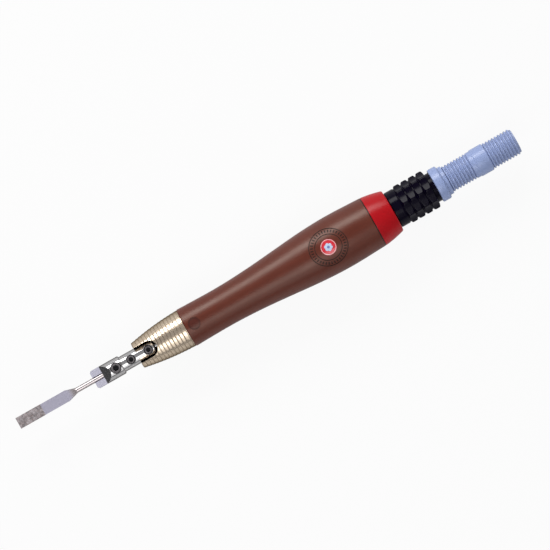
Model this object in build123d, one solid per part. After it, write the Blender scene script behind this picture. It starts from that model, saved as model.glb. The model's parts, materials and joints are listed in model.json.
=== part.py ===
from build123d import *
import math
import os

# Air file: a pencil-type pneumatic file, driven by a small turbine and a face cam.
# Millimetres. X runs along the tool axis from the file (negative) to the hose (positive),
# Z is up, on the screw side, and X = 0 is the plane where the nose cone meets the grip.

# File
BLADE_WIDTH = 5.2
BLADE_THICKNESS = 1.2
BLADE_LENGTH = 24.5
FILE_NECK_LENGTH = 5.0
SHANK_DIAMETER = 2.35
SHANK_SHOWING = 8.75
GRIT_LENGTH = 12.4
GRIT_DEPTH = 0.06

# File holder
HOLDER_HEAD_DIAMETER = 8.6
HOLDER_HEAD_LENGTH = 14.3
HOLDER_STEM_DIAMETER = 7.2
HOLDER_STEM_LENGTH = 16.7
HOLDER_INSERTION = 8.9
HOLDER_FLAT_HEIGHT = 1.2
HOLDER_FLAT_LENGTH = 4.7
HOLDER_BEVEL_ANGLE = 39.0
HOLDER_FRONT_CHAMFER = 0.7
HOLDER_SHOULDER_FILLET = 0.6
HOLDER_REAR_FILLET = 1.0

# Socket set screws in the holder
FILE_SCREW_DIAMETER = 5.0
FILE_SCREW_SOCKET = 2.5
FILE_SCREW_TOP = 4.1
FILE_SCREW_SETBACK = 11.3
CLAMP_SCREW_DIAMETER = 4.0
CLAMP_SCREW_SOCKET = 2.0
CLAMP_SCREW_TOP = 3.35
CLAMP_WELL_DIAMETER = 4.6
CLAMP_WELL_DEPTH = 0.4
CLAMP_SCREW_SPACING = 8.7
REAR_SCREW_SETBACK = 3.4
SCREW_CHAMFER = 0.4
SOCKET_DEPTH = 1.2
BEARING_PAST_SCREW = 2.8

# Nose cone
NOSE_LENGTH = 24.6
NOSE_FRONT_DIAMETER = 12.2
NOSE_REAR_DIAMETER = 17.8
NOSE_SWELL = 0.6
NOSE_CAVITY_DIAMETER = 8.2
NOSE_FLOOR_GAP = 1.5
NOSE_WEB = 1.2
NOSE_GROOVE_COUNT = 13
NOSE_GROOVE_PITCH = 1.7
NOSE_GROOVE_WIDTH = 0.8
NOSE_GROOVE_DEPTH = 0.22
NOSE_LAST_GROOVE = 2.2
NOSE_SPIGOT_LENGTH = 9.0
NOSE_SPIGOT_INSET = 1.0
KEY_SLOT_WIDTH = 7.5
KEY_SLOT_PAST_SCREW = 0.7

# Plunger, its bush, wiper and spring
PLUNGER_DIAMETER = 4.0
PLUNGER_FLAT_HEIGHT = 1.6
PLUNGER_FLANGE_GAP = 0.4
PLUNGER_FLANGE_LENGTH = 4.0
STROKE = 0.7
BUSH_DIAMETER = 8.0
WIPER_DIAMETER = 7.0
WIPER_WIDTH = 2.0
SPRING_LENGTH = 26.0
SPRING_WIRE = 0.9
SPRING_MEAN_DIAMETER = 9.0
SPRING_TURNS = 8
SPRING_POCKET_DEPTH = 4.0
SPRING_POCKET_DIAMETER = 10.6
GUIDE_PIN_DIAMETER = 1.5
GUIDE_PIN_HOLD = 2.0
FOLLOWER_DIAMETER = 2.4
FOLLOWER_OFFSET = 3.6

# Cam, rotor and turbine
CAM_DIAMETER = 10.8
CAM_LENGTH = 3.0
CAM_BOSS_LENGTH = 0.6
CAM_BOSS_DIAMETER = 6.0
CAM_WALL = 1.4
SHAFT_DIAMETER = 4.0
SHAFT_REAR_STUB = 0.4
TURBINE_TIP_GAP = 0.3
TURBINE_LENGTH = 7.0
TURBINE_HUB_DIAMETER = 8.4
TURBINE_BLADES = 14
TURBINE_BLADE_WALL = 0.5
TURBINE_BLADE_BOW = 1.3

# Ball bearings
BEARING_BORE = SHAFT_DIAMETER
BEARING_DIAMETER = 13.0
BEARING_WIDTH = 5.0
BEARING_BALL = 2.4
BEARING_BALLS = 7
BEARING_RACE_DEPTH = 0.45
CAGE_WALL = 0.7
CAGE_WIDTH = 3.4

# Body tube and motor housing
TUBE_SEAT_WALL = 0.9
TUBE_WALL = 1.4
HOUSING_BOSS_LENGTH = 6.8
HOUSING_BOSS_BORE = 10.6
HOUSING_NECK_WALL = 1.0
HOUSING_NECK_OVERLAP = 9.0
HOUSING_WALL = 2.5
HOUSING_CONE_LENGTH = 5.0
HOUSING_DIAMETER = 19.8
HOUSING_SHELL = 1.2
EXHAUST_GAP = 5.0
EXHAUST_WINDOW = 3.0
EXHAUST_PATHS = 6
EXHAUST_CHANNEL = 0.7
TURBINE_GAP = 0.6
NOZZLE_PLATE = 3.4
NOZZLE_SHARE = 0.55
NOZZLE_ANGLE = 25.0
WASHER_THICKNESS = 0.5
RETAINER_THICKNESS = 2.0
RETAINER_BORE = 6.0
SPACER_WALL = 1.1

# Grip and badge
GRIP_LENGTH = 94.5
GRIP_FRONT_DIAMETER = 18.2
GRIP_WAIST_DIAMETER = 17.6
GRIP_WAIST_X = 17.0
GRIP_SHOULDER_RISE = 0.7
GRIP_SHOULDER_X = 48.0
GRIP_BULGE_RISE = 2.6
GRIP_BULGE_X = 77.0
GRIP_REAR_RISE = 2.0
GRIP_EDGE = 0.5
SEAM_EDGE = 0.25
MARK_X = 4.3
MARK_DIAMETER = 4.8
MARK_DEPTH = 0.35
MARK_RIM_DIAMETER = 5.6
MARK_RIM_DEPTH = 0.14
BADGE_X = 71.8
BADGE_DIAMETER = 7.2
BADGE_THICKNESS = 0.8
BADGE_PROUD = 0.1
DIAL_INNER_LENGTH = 12.6
DIAL_OUTER_LENGTH = 17.9
DIAL_BREADTH_SHARE = 0.92
DIAL_LINE_WIDTH = 0.35
DIAL_DEPTH = 0.2
DIAL_TICKS = 36
TICK_LENGTH = 1.2
TICK_WIDTH = 0.6

# Rear cap
CAP_LENGTH = 9.9
CAP_REAR_DIAMETER = 19.8
CAP_SWELL = 0.25
CAP_EDGE = 0.6
CAP_SPIGOT_LENGTH = 3.5
CAP_LIP_LENGTH = 2.0
CAP_SLOT_WIDTH = 2.4
CAP_SLOT_DEPTH = 2.0

# Inlet stem, valve sleeve and throttle ring
STEM_DIAMETER = 11.2
STEM_FLANGE_LENGTH = 3.0
STEM_TAIL_DIAMETER = 10.0
SUPPLY_BORE = 3.0
SUPPLY_PORT = 1.2
SUPPLY_PORT_SPACING = 5.0
SUPPLY_PLUG = 2.0
EXHAUST_BORE = 1.5
EXHAUST_CIRCLE = 6.6
O_RING_SECTION = 1.0
O_RING_INSET = 1.6
VALVE_SLEEVE_WALL = 1.5
VALVE_SLEEVE_INSET = 1.5
VALVE_POCKET_WIDTH = 2.0
VALVE_POCKET_DEPTH = 0.8
THROTTLE_TURN = 90.0
THROTTLE_GAP = 0.2
THROTTLE_LENGTH = 19.4
THROTTLE_BAND_DIAMETER = 17.0
THROTTLE_BAND_LENGTH = 4.2
THROTTLE_BAND_EDGE = 0.3
THROTTLE_VALLEY_DIAMETER = 16.3
THROTTLE_ROW_DIAMETER = 18.4
THROTTLE_ROWS = 4
THROTTLE_ROW_PITCH = 3.77
THROTTLE_ROW_CREST = 2.4
THROTTLE_ROW_FLANK = 0.5
THROTTLE_FLUTES = 9
THROTTLE_FLUTE_DEPTH = 0.3
THROTTLE_FLUTE_LAND = 0.5
THROTTLE_FLUTE_TURN = -22.0

# Hose end
ADAPTER_NECK_DIAMETER = 13.7
ADAPTER_NECK_LENGTH = 1.8
ADAPTER_SPIGOT_DIAMETER = 12.6
ADAPTER_SPIGOT_LENGTH = 2.8
STEM_TAIL_INSET = 0.3
CUFF_DIAMETER = 15.8
CUFF_LENGTH = 4.1
CUFF_NECK_DIAMETER = 13.4
CUFF_NECK_LENGTH = 1.9
CUFF_EDGE = 0.4
HOSE_BORE = 9.6
HOSE_ROOT_DIAMETER = 11.1
HOSE_CREST_DIAMETER = 12.4
HOSE_RIB_PITCH = 1.5
HOSE_RIB_CREST = 0.5
HOSE_RIB_FLANK = 0.35
HOSE_FRONT_RIBS = 10
HOSE_REAR_RIBS = 9
HOSE_BAND_DIAMETER = 12.9
HOSE_BAND_LENGTH = 6.35
HOSE_BAND_STEP_DIAMETER = 12.3
HOSE_BAND_STEP_LENGTH = 2.3
HOSE_END_LENGTH = 0.6
NIPPLE_DIAMETER = 3.8
NIPPLE_LENGTH = 11.0
NIPPLE_COLLAR_DIAMETER = 4.8
NIPPLE_COLLAR_LENGTH = 1.5
NIPPLE_THREAD_LENGTH = 6.0
NIPPLE_BORE = 1.8
NIPPLE_CHAMFER = 0.4

# Radial clearances
RUN_CLEARANCE = 0.03
SEAT_CLEARANCE = 0.02
THREAD_CLEARANCE = 0.03
CAM_CLEARANCE = 0.1
KEYWAY_CLEARANCE = 0.1
HOSE_CLEARANCE = 0.05
OVERRUN = 1.0

# Places along the axis, from the joint of nose and grip towards the file
nose_front = -NOSE_LENGTH
holder_rear = nose_front + HOLDER_INSERTION
holder_shoulder = holder_rear - HOLDER_STEM_LENGTH
holder_front = holder_shoulder - HOLDER_HEAD_LENGTH
rear_screw = holder_rear - REAR_SCREW_SETBACK
middle_screw = rear_screw - CLAMP_SCREW_SPACING
file_screw = holder_front + FILE_SCREW_SETBACK
plunger_front = middle_screw - BEARING_PAST_SCREW
shank_rear = file_screw + BEARING_PAST_SCREW
shank_front = holder_front - SHANK_SHOWING
blade_rear = shank_front - FILE_NECK_LENGTH
file_tip = blade_rear - BLADE_LENGTH
cavity_floor = holder_rear + NOSE_FLOOR_GAP
wiper_front = cavity_floor + NOSE_WEB
bush_front = wiper_front + WIPER_WIDTH + NOSE_WEB
spring_seat = NOSE_SPIGOT_LENGTH - SPRING_POCKET_DEPTH

# Places along the axis, towards the hose
flange_front = spring_seat + SPRING_LENGTH
flange_rear = flange_front + PLUNGER_FLANGE_LENGTH
cam_face = flange_rear + FOLLOWER_DIAMETER / 2 + CAM_CLEARANCE + STROKE / 2
cam_rear = cam_face + CAM_LENGTH
front_bearing = cam_rear + CAM_BOSS_LENGTH
tube_rear = front_bearing + BEARING_WIDTH + HOUSING_BOSS_LENGTH
housing_front = tube_rear - HOUSING_NECK_OVERLAP
chamber_front = tube_rear + HOUSING_WALL
turbine_front = chamber_front + EXHAUST_GAP
nozzle_front = turbine_front + TURBINE_LENGTH + TURBINE_GAP
rear_bearing = nozzle_front + NOZZLE_PLATE
washer_front = rear_bearing + BEARING_WIDTH
nozzle_rear = washer_front + WASHER_THICKNESS
retainer_rear = nozzle_rear + RETAINER_THICKNESS
stem_flange_rear = GRIP_LENGTH - CAP_SPIGOT_LENGTH
stem_front = stem_flange_rear - STEM_FLANGE_LENGTH
cap_rear = GRIP_LENGTH + CAP_LENGTH
throttle_front = cap_rear + THROTTLE_GAP
throttle_rear = throttle_front + THROTTLE_LENGTH
valve_middle = (throttle_front + throttle_rear) / 2
adapter_front = throttle_rear + THROTTLE_GAP
cuff_front = adapter_front + ADAPTER_NECK_LENGTH
adapter_rear = cuff_front + ADAPTER_SPIGOT_LENGTH
stem_rear = adapter_rear - STEM_TAIL_INSET
cuff_rear = cuff_front + CUFF_LENGTH + CUFF_NECK_LENGTH
hose_front = adapter_rear + THROTTLE_GAP
band_front = hose_front + HOSE_FRONT_RIBS * HOSE_RIB_PITCH
band_rear = band_front + HOSE_BAND_STEP_LENGTH + HOSE_BAND_LENGTH
hose_rear = band_rear + HOSE_REAR_RIBS * HOSE_RIB_PITCH + HOSE_END_LENGTH
nipple_rear = stem_rear + NIPPLE_COLLAR_LENGTH + NIPPLE_LENGTH

# Radii that several pieces share
shank_radius = SHANK_DIAMETER / 2
plunger_radius = PLUNGER_DIAMETER / 2
shaft_radius = SHAFT_DIAMETER / 2
tube_radius = BEARING_DIAMETER / 2 + TUBE_SEAT_WALL
tube_bore_radius = tube_radius - TUBE_WALL
nose_spigot_radius = tube_radius - NOSE_SPIGOT_INSET
flange_radius = tube_bore_radius - PLUNGER_FLANGE_GAP
housing_neck_radius = tube_radius + HOUSING_NECK_WALL
housing_radius = HOUSING_DIAMETER / 2
housing_bore_radius = housing_radius - HOUSING_SHELL
channel_radius = housing_radius + EXHAUST_CHANNEL
nozzle_circle = (BEARING_DIAMETER / 2 + housing_bore_radius) / 2
nozzle_radius = NOZZLE_SHARE * (housing_bore_radius - BEARING_DIAMETER / 2) / 2
turbine_radius = housing_bore_radius - TURBINE_TIP_GAP
grip_shoulder_radius = housing_radius + GRIP_SHOULDER_RISE
grip_bulge_radius = housing_radius + GRIP_BULGE_RISE
grip_rear_radius = housing_radius + GRIP_REAR_RISE
stem_radius = STEM_DIAMETER / 2
sleeve_bore_radius = stem_radius + RUN_CLEARANCE
sleeve_radius = sleeve_bore_radius + VALVE_SLEEVE_WALL
ball_circle_radius = (BEARING_BORE + BEARING_DIAMETER) / 4


def turned(*corners):
    """Solid of revolution about the tool axis, from (x, radius) corners."""
    return revolve(make_face(Polyline(*corners, close=True)), Axis.X)


def rod(front, rear, radius):
    """Round bar on the tool axis."""
    return turned((front, 0), (front, radius), (rear, radius), (rear, 0))


def ring(front, rear, radius, bore_radius):
    """Tube on the tool axis."""
    return turned((front, bore_radius), (front, radius), (rear, radius), (rear, bore_radius))


def torus_on_axis(x, circle_radius, section_radius):
    """Round-section ring about the tool axis."""
    return Pos(x, 0, 0) * Rot(0, 90, 0) * Torus(circle_radius, section_radius)


def around_axis(piece, count, start=0.0):
    """Copies of a piece, evenly spaced about the tool axis."""
    return [Rot(start + 360.0 * index / count, 0, 0) * piece for index in range(count)]


def upright(x, radius, bottom, top):
    """Round post along Z that crosses the tool axis at x."""
    post = Cylinder(radius, top - bottom, align=(Align.CENTER, Align.CENTER, Align.MIN))
    return Pos(x, 0, bottom) * post


def side_profile(corners, width):
    """Prism across the tool from (x, z) corners."""
    return extrude(make_face(Plane.XZ * Polyline(*corners, close=True)), width / 2, both=True)


def file():
    """Flat blade ground from a turned blank, with a gritted tip and a round shank."""
    blank_radius = math.hypot(BLADE_WIDTH, BLADE_THICKNESS) / 2
    blank = turned(
        (file_tip, 0),
        (file_tip, blank_radius),
        (blade_rear, blank_radius),
        (shank_front, shank_radius),
        (shank_rear, shank_radius),
        (shank_rear, 0),
    )
    half = BLADE_THICKNESS / 2
    flats = side_profile(
        [
            (file_tip, half),
            (blade_rear, half),
            (shank_front, shank_radius),
            (shank_rear, shank_radius),
            (shank_rear, -shank_radius),
            (shank_front, -shank_radius),
            (blade_rear, -half),
            (file_tip, -half),
        ],
        BLADE_WIDTH,
    )
    coat = Box(GRIT_LENGTH, BLADE_WIDTH + 2 * GRIT_DEPTH, BLADE_THICKNESS + 2 * GRIT_DEPTH)
    return (blank & flats) + Pos(file_tip + GRIT_LENGTH / 2, 0, 0) * coat


def file_holder():
    """Stepped rod with a flat and an open slot for the shank, bored for shank and plunger."""
    head_radius = HOLDER_HEAD_DIAMETER / 2
    rod_radius = HOLDER_STEM_DIAMETER / 2
    head = rod(holder_front, holder_shoulder, head_radius)
    head = chamfer(head.edges().group_by(Axis.X)[0], HOLDER_FRONT_CHAMFER)
    head = fillet(head.edges().group_by(Axis.X)[-1], HOLDER_SHOULDER_FILLET)
    stem = rod(holder_shoulder - OVERRUN, holder_rear, rod_radius)
    stem = fillet(stem.edges().group_by(Axis.X)[-1], HOLDER_REAR_FILLET)
    body = head + stem
    above = head_radius + OVERRUN
    flat_rear = holder_front + HOLDER_FLAT_LENGTH
    bevel_run = (above - HOLDER_FLAT_HEIGHT) / math.tan(math.radians(HOLDER_BEVEL_ANGLE))
    relief = [
        (holder_front - OVERRUN, HOLDER_FLAT_HEIGHT),
        (flat_rear, HOLDER_FLAT_HEIGHT),
        (flat_rear + bevel_run, above),
        (holder_front - OVERRUN, above),
    ]
    body -= side_profile(relief, 2 * above)
    shank_bore = shank_radius + SEAT_CLEARANCE
    slot = [
        (holder_front - OVERRUN, 0),
        (flat_rear, 0),
        (flat_rear, above),
        (holder_front - OVERRUN, above),
    ]
    body -= side_profile(slot, 2 * shank_bore)
    body -= rod(holder_front - OVERRUN, shank_rear + SEAT_CLEARANCE, shank_bore)
    body -= rod(plunger_front - SEAT_CLEARANCE, holder_rear + OVERRUN, plunger_radius + SEAT_CLEARANCE)
    body -= upright(file_screw, FILE_SCREW_DIAMETER / 2 + THREAD_CLEARANCE, 0, above)
    for x in (middle_screw, rear_screw):
        body -= upright(x, CLAMP_SCREW_DIAMETER / 2 + THREAD_CLEARANCE, 0, above)
        body -= upright(x, CLAMP_WELL_DIAMETER / 2, CLAMP_SCREW_TOP - CLAMP_WELL_DEPTH, above)
    return body


def set_screw(x, diameter, bottom, top, socket):
    """Headless screw along Z with a hexagon socket in its top."""
    body = chamfer(upright(x, diameter / 2, bottom, top).edges().group_by(Axis.Z)[-1], SCREW_CHAMFER)
    hexagon = RegularPolygon(socket / 2, 6, major_radius=False)
    return body - Pos(x, 0, top) * extrude(hexagon, -SOCKET_DEPTH)


def file_clamp_screw():
    """Screw that clamps the shank."""
    bottom = shank_radius + SEAT_CLEARANCE
    return set_screw(file_screw, FILE_SCREW_DIAMETER, bottom, FILE_SCREW_TOP, FILE_SCREW_SOCKET)


def plunger_clamp_screws():
    """Two screws that clamp the holder on the plunger's flat."""
    bottom = PLUNGER_FLAT_HEIGHT + SEAT_CLEARANCE
    return [
        set_screw(x, CLAMP_SCREW_DIAMETER, bottom, CLAMP_SCREW_TOP, CLAMP_SCREW_SOCKET)
        for x in (middle_screw, rear_screw)
    ]


def nose_outline():
    """Swollen outline of the nose cone, front to rear."""
    front = Vector(nose_front, NOSE_FRONT_DIAMETER / 2)
    rear = Vector(0, NOSE_REAR_DIAMETER / 2)
    chord = rear - front
    middle = (front + rear) * 0.5 + Vector(-chord.Y, chord.X).normalized() * NOSE_SWELL
    return ThreePointArc(front, middle, rear)


def nose_radius(x):
    """Outer radius of the nose cone at x."""
    arc = nose_outline()
    centre = arc.arc_center
    return centre.Y + math.sqrt(arc.radius**2 - (x - centre.X) ** 2)


def nose_cone():
    """Ringed nose with a key slot, a pocket for the wiper, a seat for the bush and a rear spigot."""
    arc = nose_outline()
    shell = make_face(
        arc
        + Polyline(arc @ 1, (0, nose_spigot_radius), (NOSE_SPIGOT_LENGTH, nose_spigot_radius))
        + Polyline((NOSE_SPIGOT_LENGTH, nose_spigot_radius), (NOSE_SPIGOT_LENGTH, 0), (nose_front, 0))
        + Line((nose_front, 0), arc @ 0)
    )
    for index in range(NOSE_GROOVE_COUNT):
        x = -NOSE_LAST_GROOVE - index * NOSE_GROOVE_PITCH
        radius = nose_radius(x)
        half = NOSE_GROOVE_WIDTH / 2
        lip = radius + NOSE_GROOVE_DEPTH
        cut = [(x - 2 * half, lip), (x, radius - NOSE_GROOVE_DEPTH), (x + 2 * half, lip)]
        shell -= make_face(Polyline(*cut, close=True))
    body = revolve(shell, Axis.X)
    body -= rod(nose_front - OVERRUN, cavity_floor, NOSE_CAVITY_DIAMETER / 2)
    body -= rod(cavity_floor, bush_front, plunger_radius + CAM_CLEARANCE)
    body -= rod(wiper_front, wiper_front + WIPER_WIDTH, WIPER_DIAMETER / 2 + SEAT_CLEARANCE)
    body -= rod(bush_front, spring_seat, BUSH_DIAMETER / 2 + SEAT_CLEARANCE)
    body -= rod(spring_seat, NOSE_SPIGOT_LENGTH + OVERRUN, SPRING_POCKET_DIAMETER / 2)
    height = NOSE_REAR_DIAMETER
    slot_end = rear_screw + KEY_SLOT_PAST_SCREW
    slot_length = slot_end - nose_front + OVERRUN
    slot = Pos(slot_end - slot_length / 2, 0, height / 2) * Box(slot_length, KEY_SLOT_WIDTH, height)
    return body - slot - upright(slot_end, KEY_SLOT_WIDTH / 2, 0, height)


def wiper_ring():
    """Felt ring in the nose."""
    bore = plunger_radius + RUN_CLEARANCE
    return ring(wiper_front, wiper_front + WIPER_WIDTH, WIPER_DIAMETER / 2, bore)


def front_bush():
    """Long bush that guides the plunger."""
    return ring(bush_front, spring_seat, BUSH_DIAMETER / 2, plunger_radius + RUN_CLEARANCE)


def plunger():
    """Sliding shaft with a clamping flat at the front and a spring flange at the rear."""
    body = turned(
        (plunger_front, 0),
        (plunger_front, plunger_radius),
        (flange_front, plunger_radius),
        (flange_front, flange_radius),
        (flange_rear, flange_radius),
        (flange_rear, 0),
    )
    flat = [
        (plunger_front - OVERRUN, PLUNGER_FLAT_HEIGHT),
        (holder_rear, PLUNGER_FLAT_HEIGHT),
        (holder_rear, PLUNGER_DIAMETER),
        (plunger_front - OVERRUN, PLUNGER_DIAMETER),
    ]
    body -= side_profile(flat, 2 * PLUNGER_DIAMETER)
    body -= Pos(flange_rear, 0, FOLLOWER_OFFSET) * Sphere(FOLLOWER_DIAMETER / 2 + SEAT_CLEARANCE)
    pin_top = -flange_radius + GUIDE_PIN_HOLD + SEAT_CLEARANCE
    pin_radius = GUIDE_PIN_DIAMETER / 2 + SEAT_CLEARANCE
    return body - upright(guide_pin_place(), pin_radius, -2 * flange_radius, pin_top)


def guide_pin_place():
    """Middle of the plunger's flange."""
    return (flange_front + flange_rear) / 2


def guide_pin():
    """Radial pin of the flange that slides in the tube's keyway."""
    hold = -flange_radius + GUIDE_PIN_HOLD
    return upright(guide_pin_place(), GUIDE_PIN_DIAMETER / 2, -tube_radius + KEYWAY_CLEARANCE, hold)


def return_spring():
    """Coil spring between the nose and the plunger's flange."""
    wire_radius = SPRING_WIRE / 2
    run = SPRING_LENGTH - SPRING_WIRE
    start = (spring_seat + wire_radius, 0, 0)
    path = Helix(run / SPRING_TURNS, run, SPRING_MEAN_DIAMETER / 2, center=start, direction=(1, 0, 0))
    section = Plane(path @ 0, z_dir=path % 0) * Circle(wire_radius)
    return sweep(section, path=path, is_frenet=True)


def follower_ball():
    """Hard ball that rides on the cam."""
    return Pos(flange_rear, 0, FOLLOWER_OFFSET) * Sphere(FOLLOWER_DIAMETER / 2)


def swash_cam():
    """Disc with an inclined front face, low side up at rest, pressed on the rotor shaft."""
    cam_radius = CAM_DIAMETER / 2
    slope = STROKE / 2 / FOLLOWER_OFFSET
    lift = slope * cam_radius
    disc = rod(cam_face - lift, cam_rear, cam_radius)
    disc += rod(cam_rear, front_bearing, CAM_BOSS_DIAMETER / 2)
    waste = [
        (cam_face - 2 * lift, -cam_radius - OVERRUN),
        (cam_face - slope * (cam_radius + OVERRUN), -cam_radius - OVERRUN),
        (cam_face + slope * (cam_radius + OVERRUN), cam_radius + OVERRUN),
        (cam_face - 2 * lift, cam_radius + OVERRUN),
    ]
    disc -= side_profile(waste, 2 * CAM_DIAMETER)
    return disc - rod(cam_face + CAM_WALL, front_bearing + OVERRUN, shaft_radius + SEAT_CLEARANCE)


def rotor_shaft():
    """Plain shaft that carries cam, turbine and both bearings."""
    return rod(cam_face + CAM_WALL + SEAT_CLEARANCE, washer_front + SHAFT_REAR_STUB, shaft_radius)


def turbine_wheel():
    """Hub with bowed blades all round."""
    rear = turbine_front + TURBINE_LENGTH
    hub_radius = TURBINE_HUB_DIAMETER / 2
    hub = ring(turbine_front, rear, hub_radius, shaft_radius + SEAT_CLEARANCE)
    middle = (turbine_front + rear) / 2
    wall = TURBINE_BLADE_WALL
    face = ThreePointArc((turbine_front, 0), (middle, TURBINE_BLADE_BOW), (rear, 0))
    back = ThreePointArc((turbine_front, wall), (middle, TURBINE_BLADE_BOW + wall), (rear, wall))
    outline = make_face(face + Line(face @ 1, back @ 1) + back + Line(back @ 0, face @ 0))
    root = hub_radius - TURBINE_BLADE_BOW
    blade = Pos(0, 0, root) * extrude(outline, turbine_radius - root)
    blade &= ring(turbine_front, rear, turbine_radius, root)
    wheel = hub + around_axis(blade, TURBINE_BLADES)
    return wheel - rod(turbine_front, rear, shaft_radius + SEAT_CLEARANCE)


def bearing_race(front):
    """Round groove that the balls run in."""
    return torus_on_axis(front + BEARING_WIDTH / 2, ball_circle_radius, BEARING_BALL / 2 + RUN_CLEARANCE)


def bearing_outer_ring(front):
    """Outer ring of a ball bearing."""
    bore = ball_circle_radius + BEARING_BALL / 2 - BEARING_RACE_DEPTH
    return ring(front, front + BEARING_WIDTH, BEARING_DIAMETER / 2, bore) - bearing_race(front)


def bearing_inner_ring(front):
    """Inner ring of a ball bearing."""
    radius = ball_circle_radius - BEARING_BALL / 2 + BEARING_RACE_DEPTH
    bore = shaft_radius + SEAT_CLEARANCE
    return ring(front, front + BEARING_WIDTH, radius, bore) - bearing_race(front)


def bearing_balls(front):
    """Ring of balls."""
    ball = Pos(front + BEARING_WIDTH / 2, 0, ball_circle_radius) * Sphere(BEARING_BALL / 2)
    return around_axis(ball, BEARING_BALLS)


def bearing_cage(front):
    """Thin ring with a pocket for each ball."""
    middle = front + BEARING_WIDTH / 2
    half = CAGE_WIDTH / 2
    inner = ball_circle_radius - CAGE_WALL / 2
    body = ring(middle - half, middle + half, inner + CAGE_WALL, inner)
    pocket = Pos(middle, 0, ball_circle_radius) * Sphere(BEARING_BALL / 2 + RUN_CLEARANCE)
    return body - around_axis(pocket, BEARING_BALLS)


def body_tube():
    """Tube that takes the nose in front and the front bearing behind, with a keyway below."""
    spigot_bore = nose_spigot_radius + THREAD_CLEARANCE
    seat_bore = BEARING_DIAMETER / 2 + SEAT_CLEARANCE
    body = turned(
        (0, spigot_bore),
        (0, tube_radius),
        (tube_rear, tube_radius),
        (tube_rear, seat_bore),
        (front_bearing, seat_bore),
        (front_bearing, tube_bore_radius),
        (NOSE_SPIGOT_LENGTH, tube_bore_radius),
        (NOSE_SPIGOT_LENGTH, spigot_bore),
    )
    width = GUIDE_PIN_DIAMETER + 2 * KEYWAY_CLEARANCE
    length = width + STROKE + 2 * KEYWAY_CLEARANCE
    middle = guide_pin_place() - STROKE / 2
    return body - Pos(middle, 0, -tube_radius) * Box(length, width, tube_radius)


def motor_housing():
    """Cup for turbine and nozzles, with a neck over the body tube and exhaust windows."""
    neck_bore = tube_radius + THREAD_CLEARANCE
    boss_front = front_bearing + BEARING_WIDTH
    boss_radius = BEARING_DIAMETER / 2
    boss_bore = HOUSING_BOSS_BORE / 2
    hole = shaft_radius + CAM_CLEARANCE
    body = turned(
        (housing_front, neck_bore),
        (housing_front, housing_neck_radius),
        (tube_rear, housing_neck_radius),
        (tube_rear + HOUSING_CONE_LENGTH, housing_radius),
        (GRIP_LENGTH, housing_radius),
        (GRIP_LENGTH, housing_bore_radius),
        (chamber_front, housing_bore_radius),
        (chamber_front, hole),
        (tube_rear, hole),
        (tube_rear, boss_bore),
        (boss_front, boss_bore),
        (boss_front, boss_radius),
        (tube_rear, boss_radius),
        (tube_rear, neck_bore),
    )
    window_place = chamber_front + EXHAUST_GAP / 2
    bottom = housing_bore_radius - OVERRUN
    window = upright(window_place, EXHAUST_WINDOW / 2, bottom, housing_radius + OVERRUN)
    return body - around_axis(window, EXHAUST_PATHS)


def nozzle_ring():
    """Fixed ring with slanted nozzles that holds the rear bearing."""
    seat = BEARING_DIAMETER / 2 + SEAT_CLEARANCE
    outer = housing_bore_radius - SEAT_CLEARANCE
    hole = shaft_radius + CAM_CLEARANCE
    body = turned(
        (nozzle_front, hole),
        (nozzle_front, outer),
        (nozzle_rear, outer),
        (nozzle_rear, seat),
        (rear_bearing, seat),
        (rear_bearing, hole),
    )
    return body - around_axis(nozzle(), EXHAUST_PATHS)


def nozzle():
    """Slanted air hole through the nozzle ring."""
    middle = (nozzle_front + nozzle_rear) / 2
    length = 2 * (nozzle_rear - nozzle_front)
    slant = Rot(0, 0, NOZZLE_ANGLE) * Rot(0, 90, 0)
    return Pos(middle, 0, nozzle_circle) * slant * Cylinder(nozzle_radius, length)


def wave_washer():
    """Spring washer on the rear bearing's outer ring."""
    bore = ball_circle_radius + BEARING_BALL / 2 - BEARING_RACE_DEPTH
    return ring(washer_front, nozzle_rear, BEARING_DIAMETER / 2 - SEAT_CLEARANCE, bore)


def bearing_retainer():
    """Plate behind the nozzle ring with an air hole at each nozzle."""
    body = ring(nozzle_rear, retainer_rear, housing_bore_radius - SEAT_CLEARANCE, RETAINER_BORE / 2)
    drift = (nozzle_rear - nozzle_front) / 2 * math.tan(math.radians(NOZZLE_ANGLE))
    turn = -math.degrees(math.atan2(drift, nozzle_circle))
    hole = Rot(0, 90, 0) * Cylinder(nozzle_radius, 3 * RETAINER_THICKNESS)
    return body - around_axis(Pos(nozzle_rear, 0, nozzle_circle) * hole, EXHAUST_PATHS, turn)


def spacer_tube():
    """Tube that clamps the retainer against the inlet stem."""
    outer = housing_bore_radius - SEAT_CLEARANCE
    return ring(retainer_rear, stem_front, outer, outer - SPACER_WALL)


def grip_outline(growth):
    """Outline of the grip from front to rear, at a distance from its surface."""
    front = Vector(0, GRIP_FRONT_DIAMETER / 2 + growth)
    waist = Vector(GRIP_WAIST_X, GRIP_WAIST_DIAMETER / 2 + growth)
    shoulder = Vector(GRIP_SHOULDER_X, grip_shoulder_radius + growth)
    bulge = Vector(GRIP_BULGE_X, grip_bulge_radius + growth)
    rear = Vector(GRIP_LENGTH, grip_rear_radius + growth)
    level = Vector(1, 0)
    hold = Spline(front, waist, tangents=(waist - front, level))
    rise = Spline(waist, shoulder, bulge, tangents=(level, level))
    fall = Spline(bulge, rear, tangents=(level, rear - bulge))
    return hold + rise + fall


def grip_envelope(growth):
    """Everything inside the grip's surface, at a distance from it."""
    outline = grip_outline(growth)
    front = outline @ 0
    rear = outline @ 1
    return revolve(make_face(outline + Polyline(rear, (rear.X, 0), (front.X, 0), front)), Axis.X)


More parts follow.
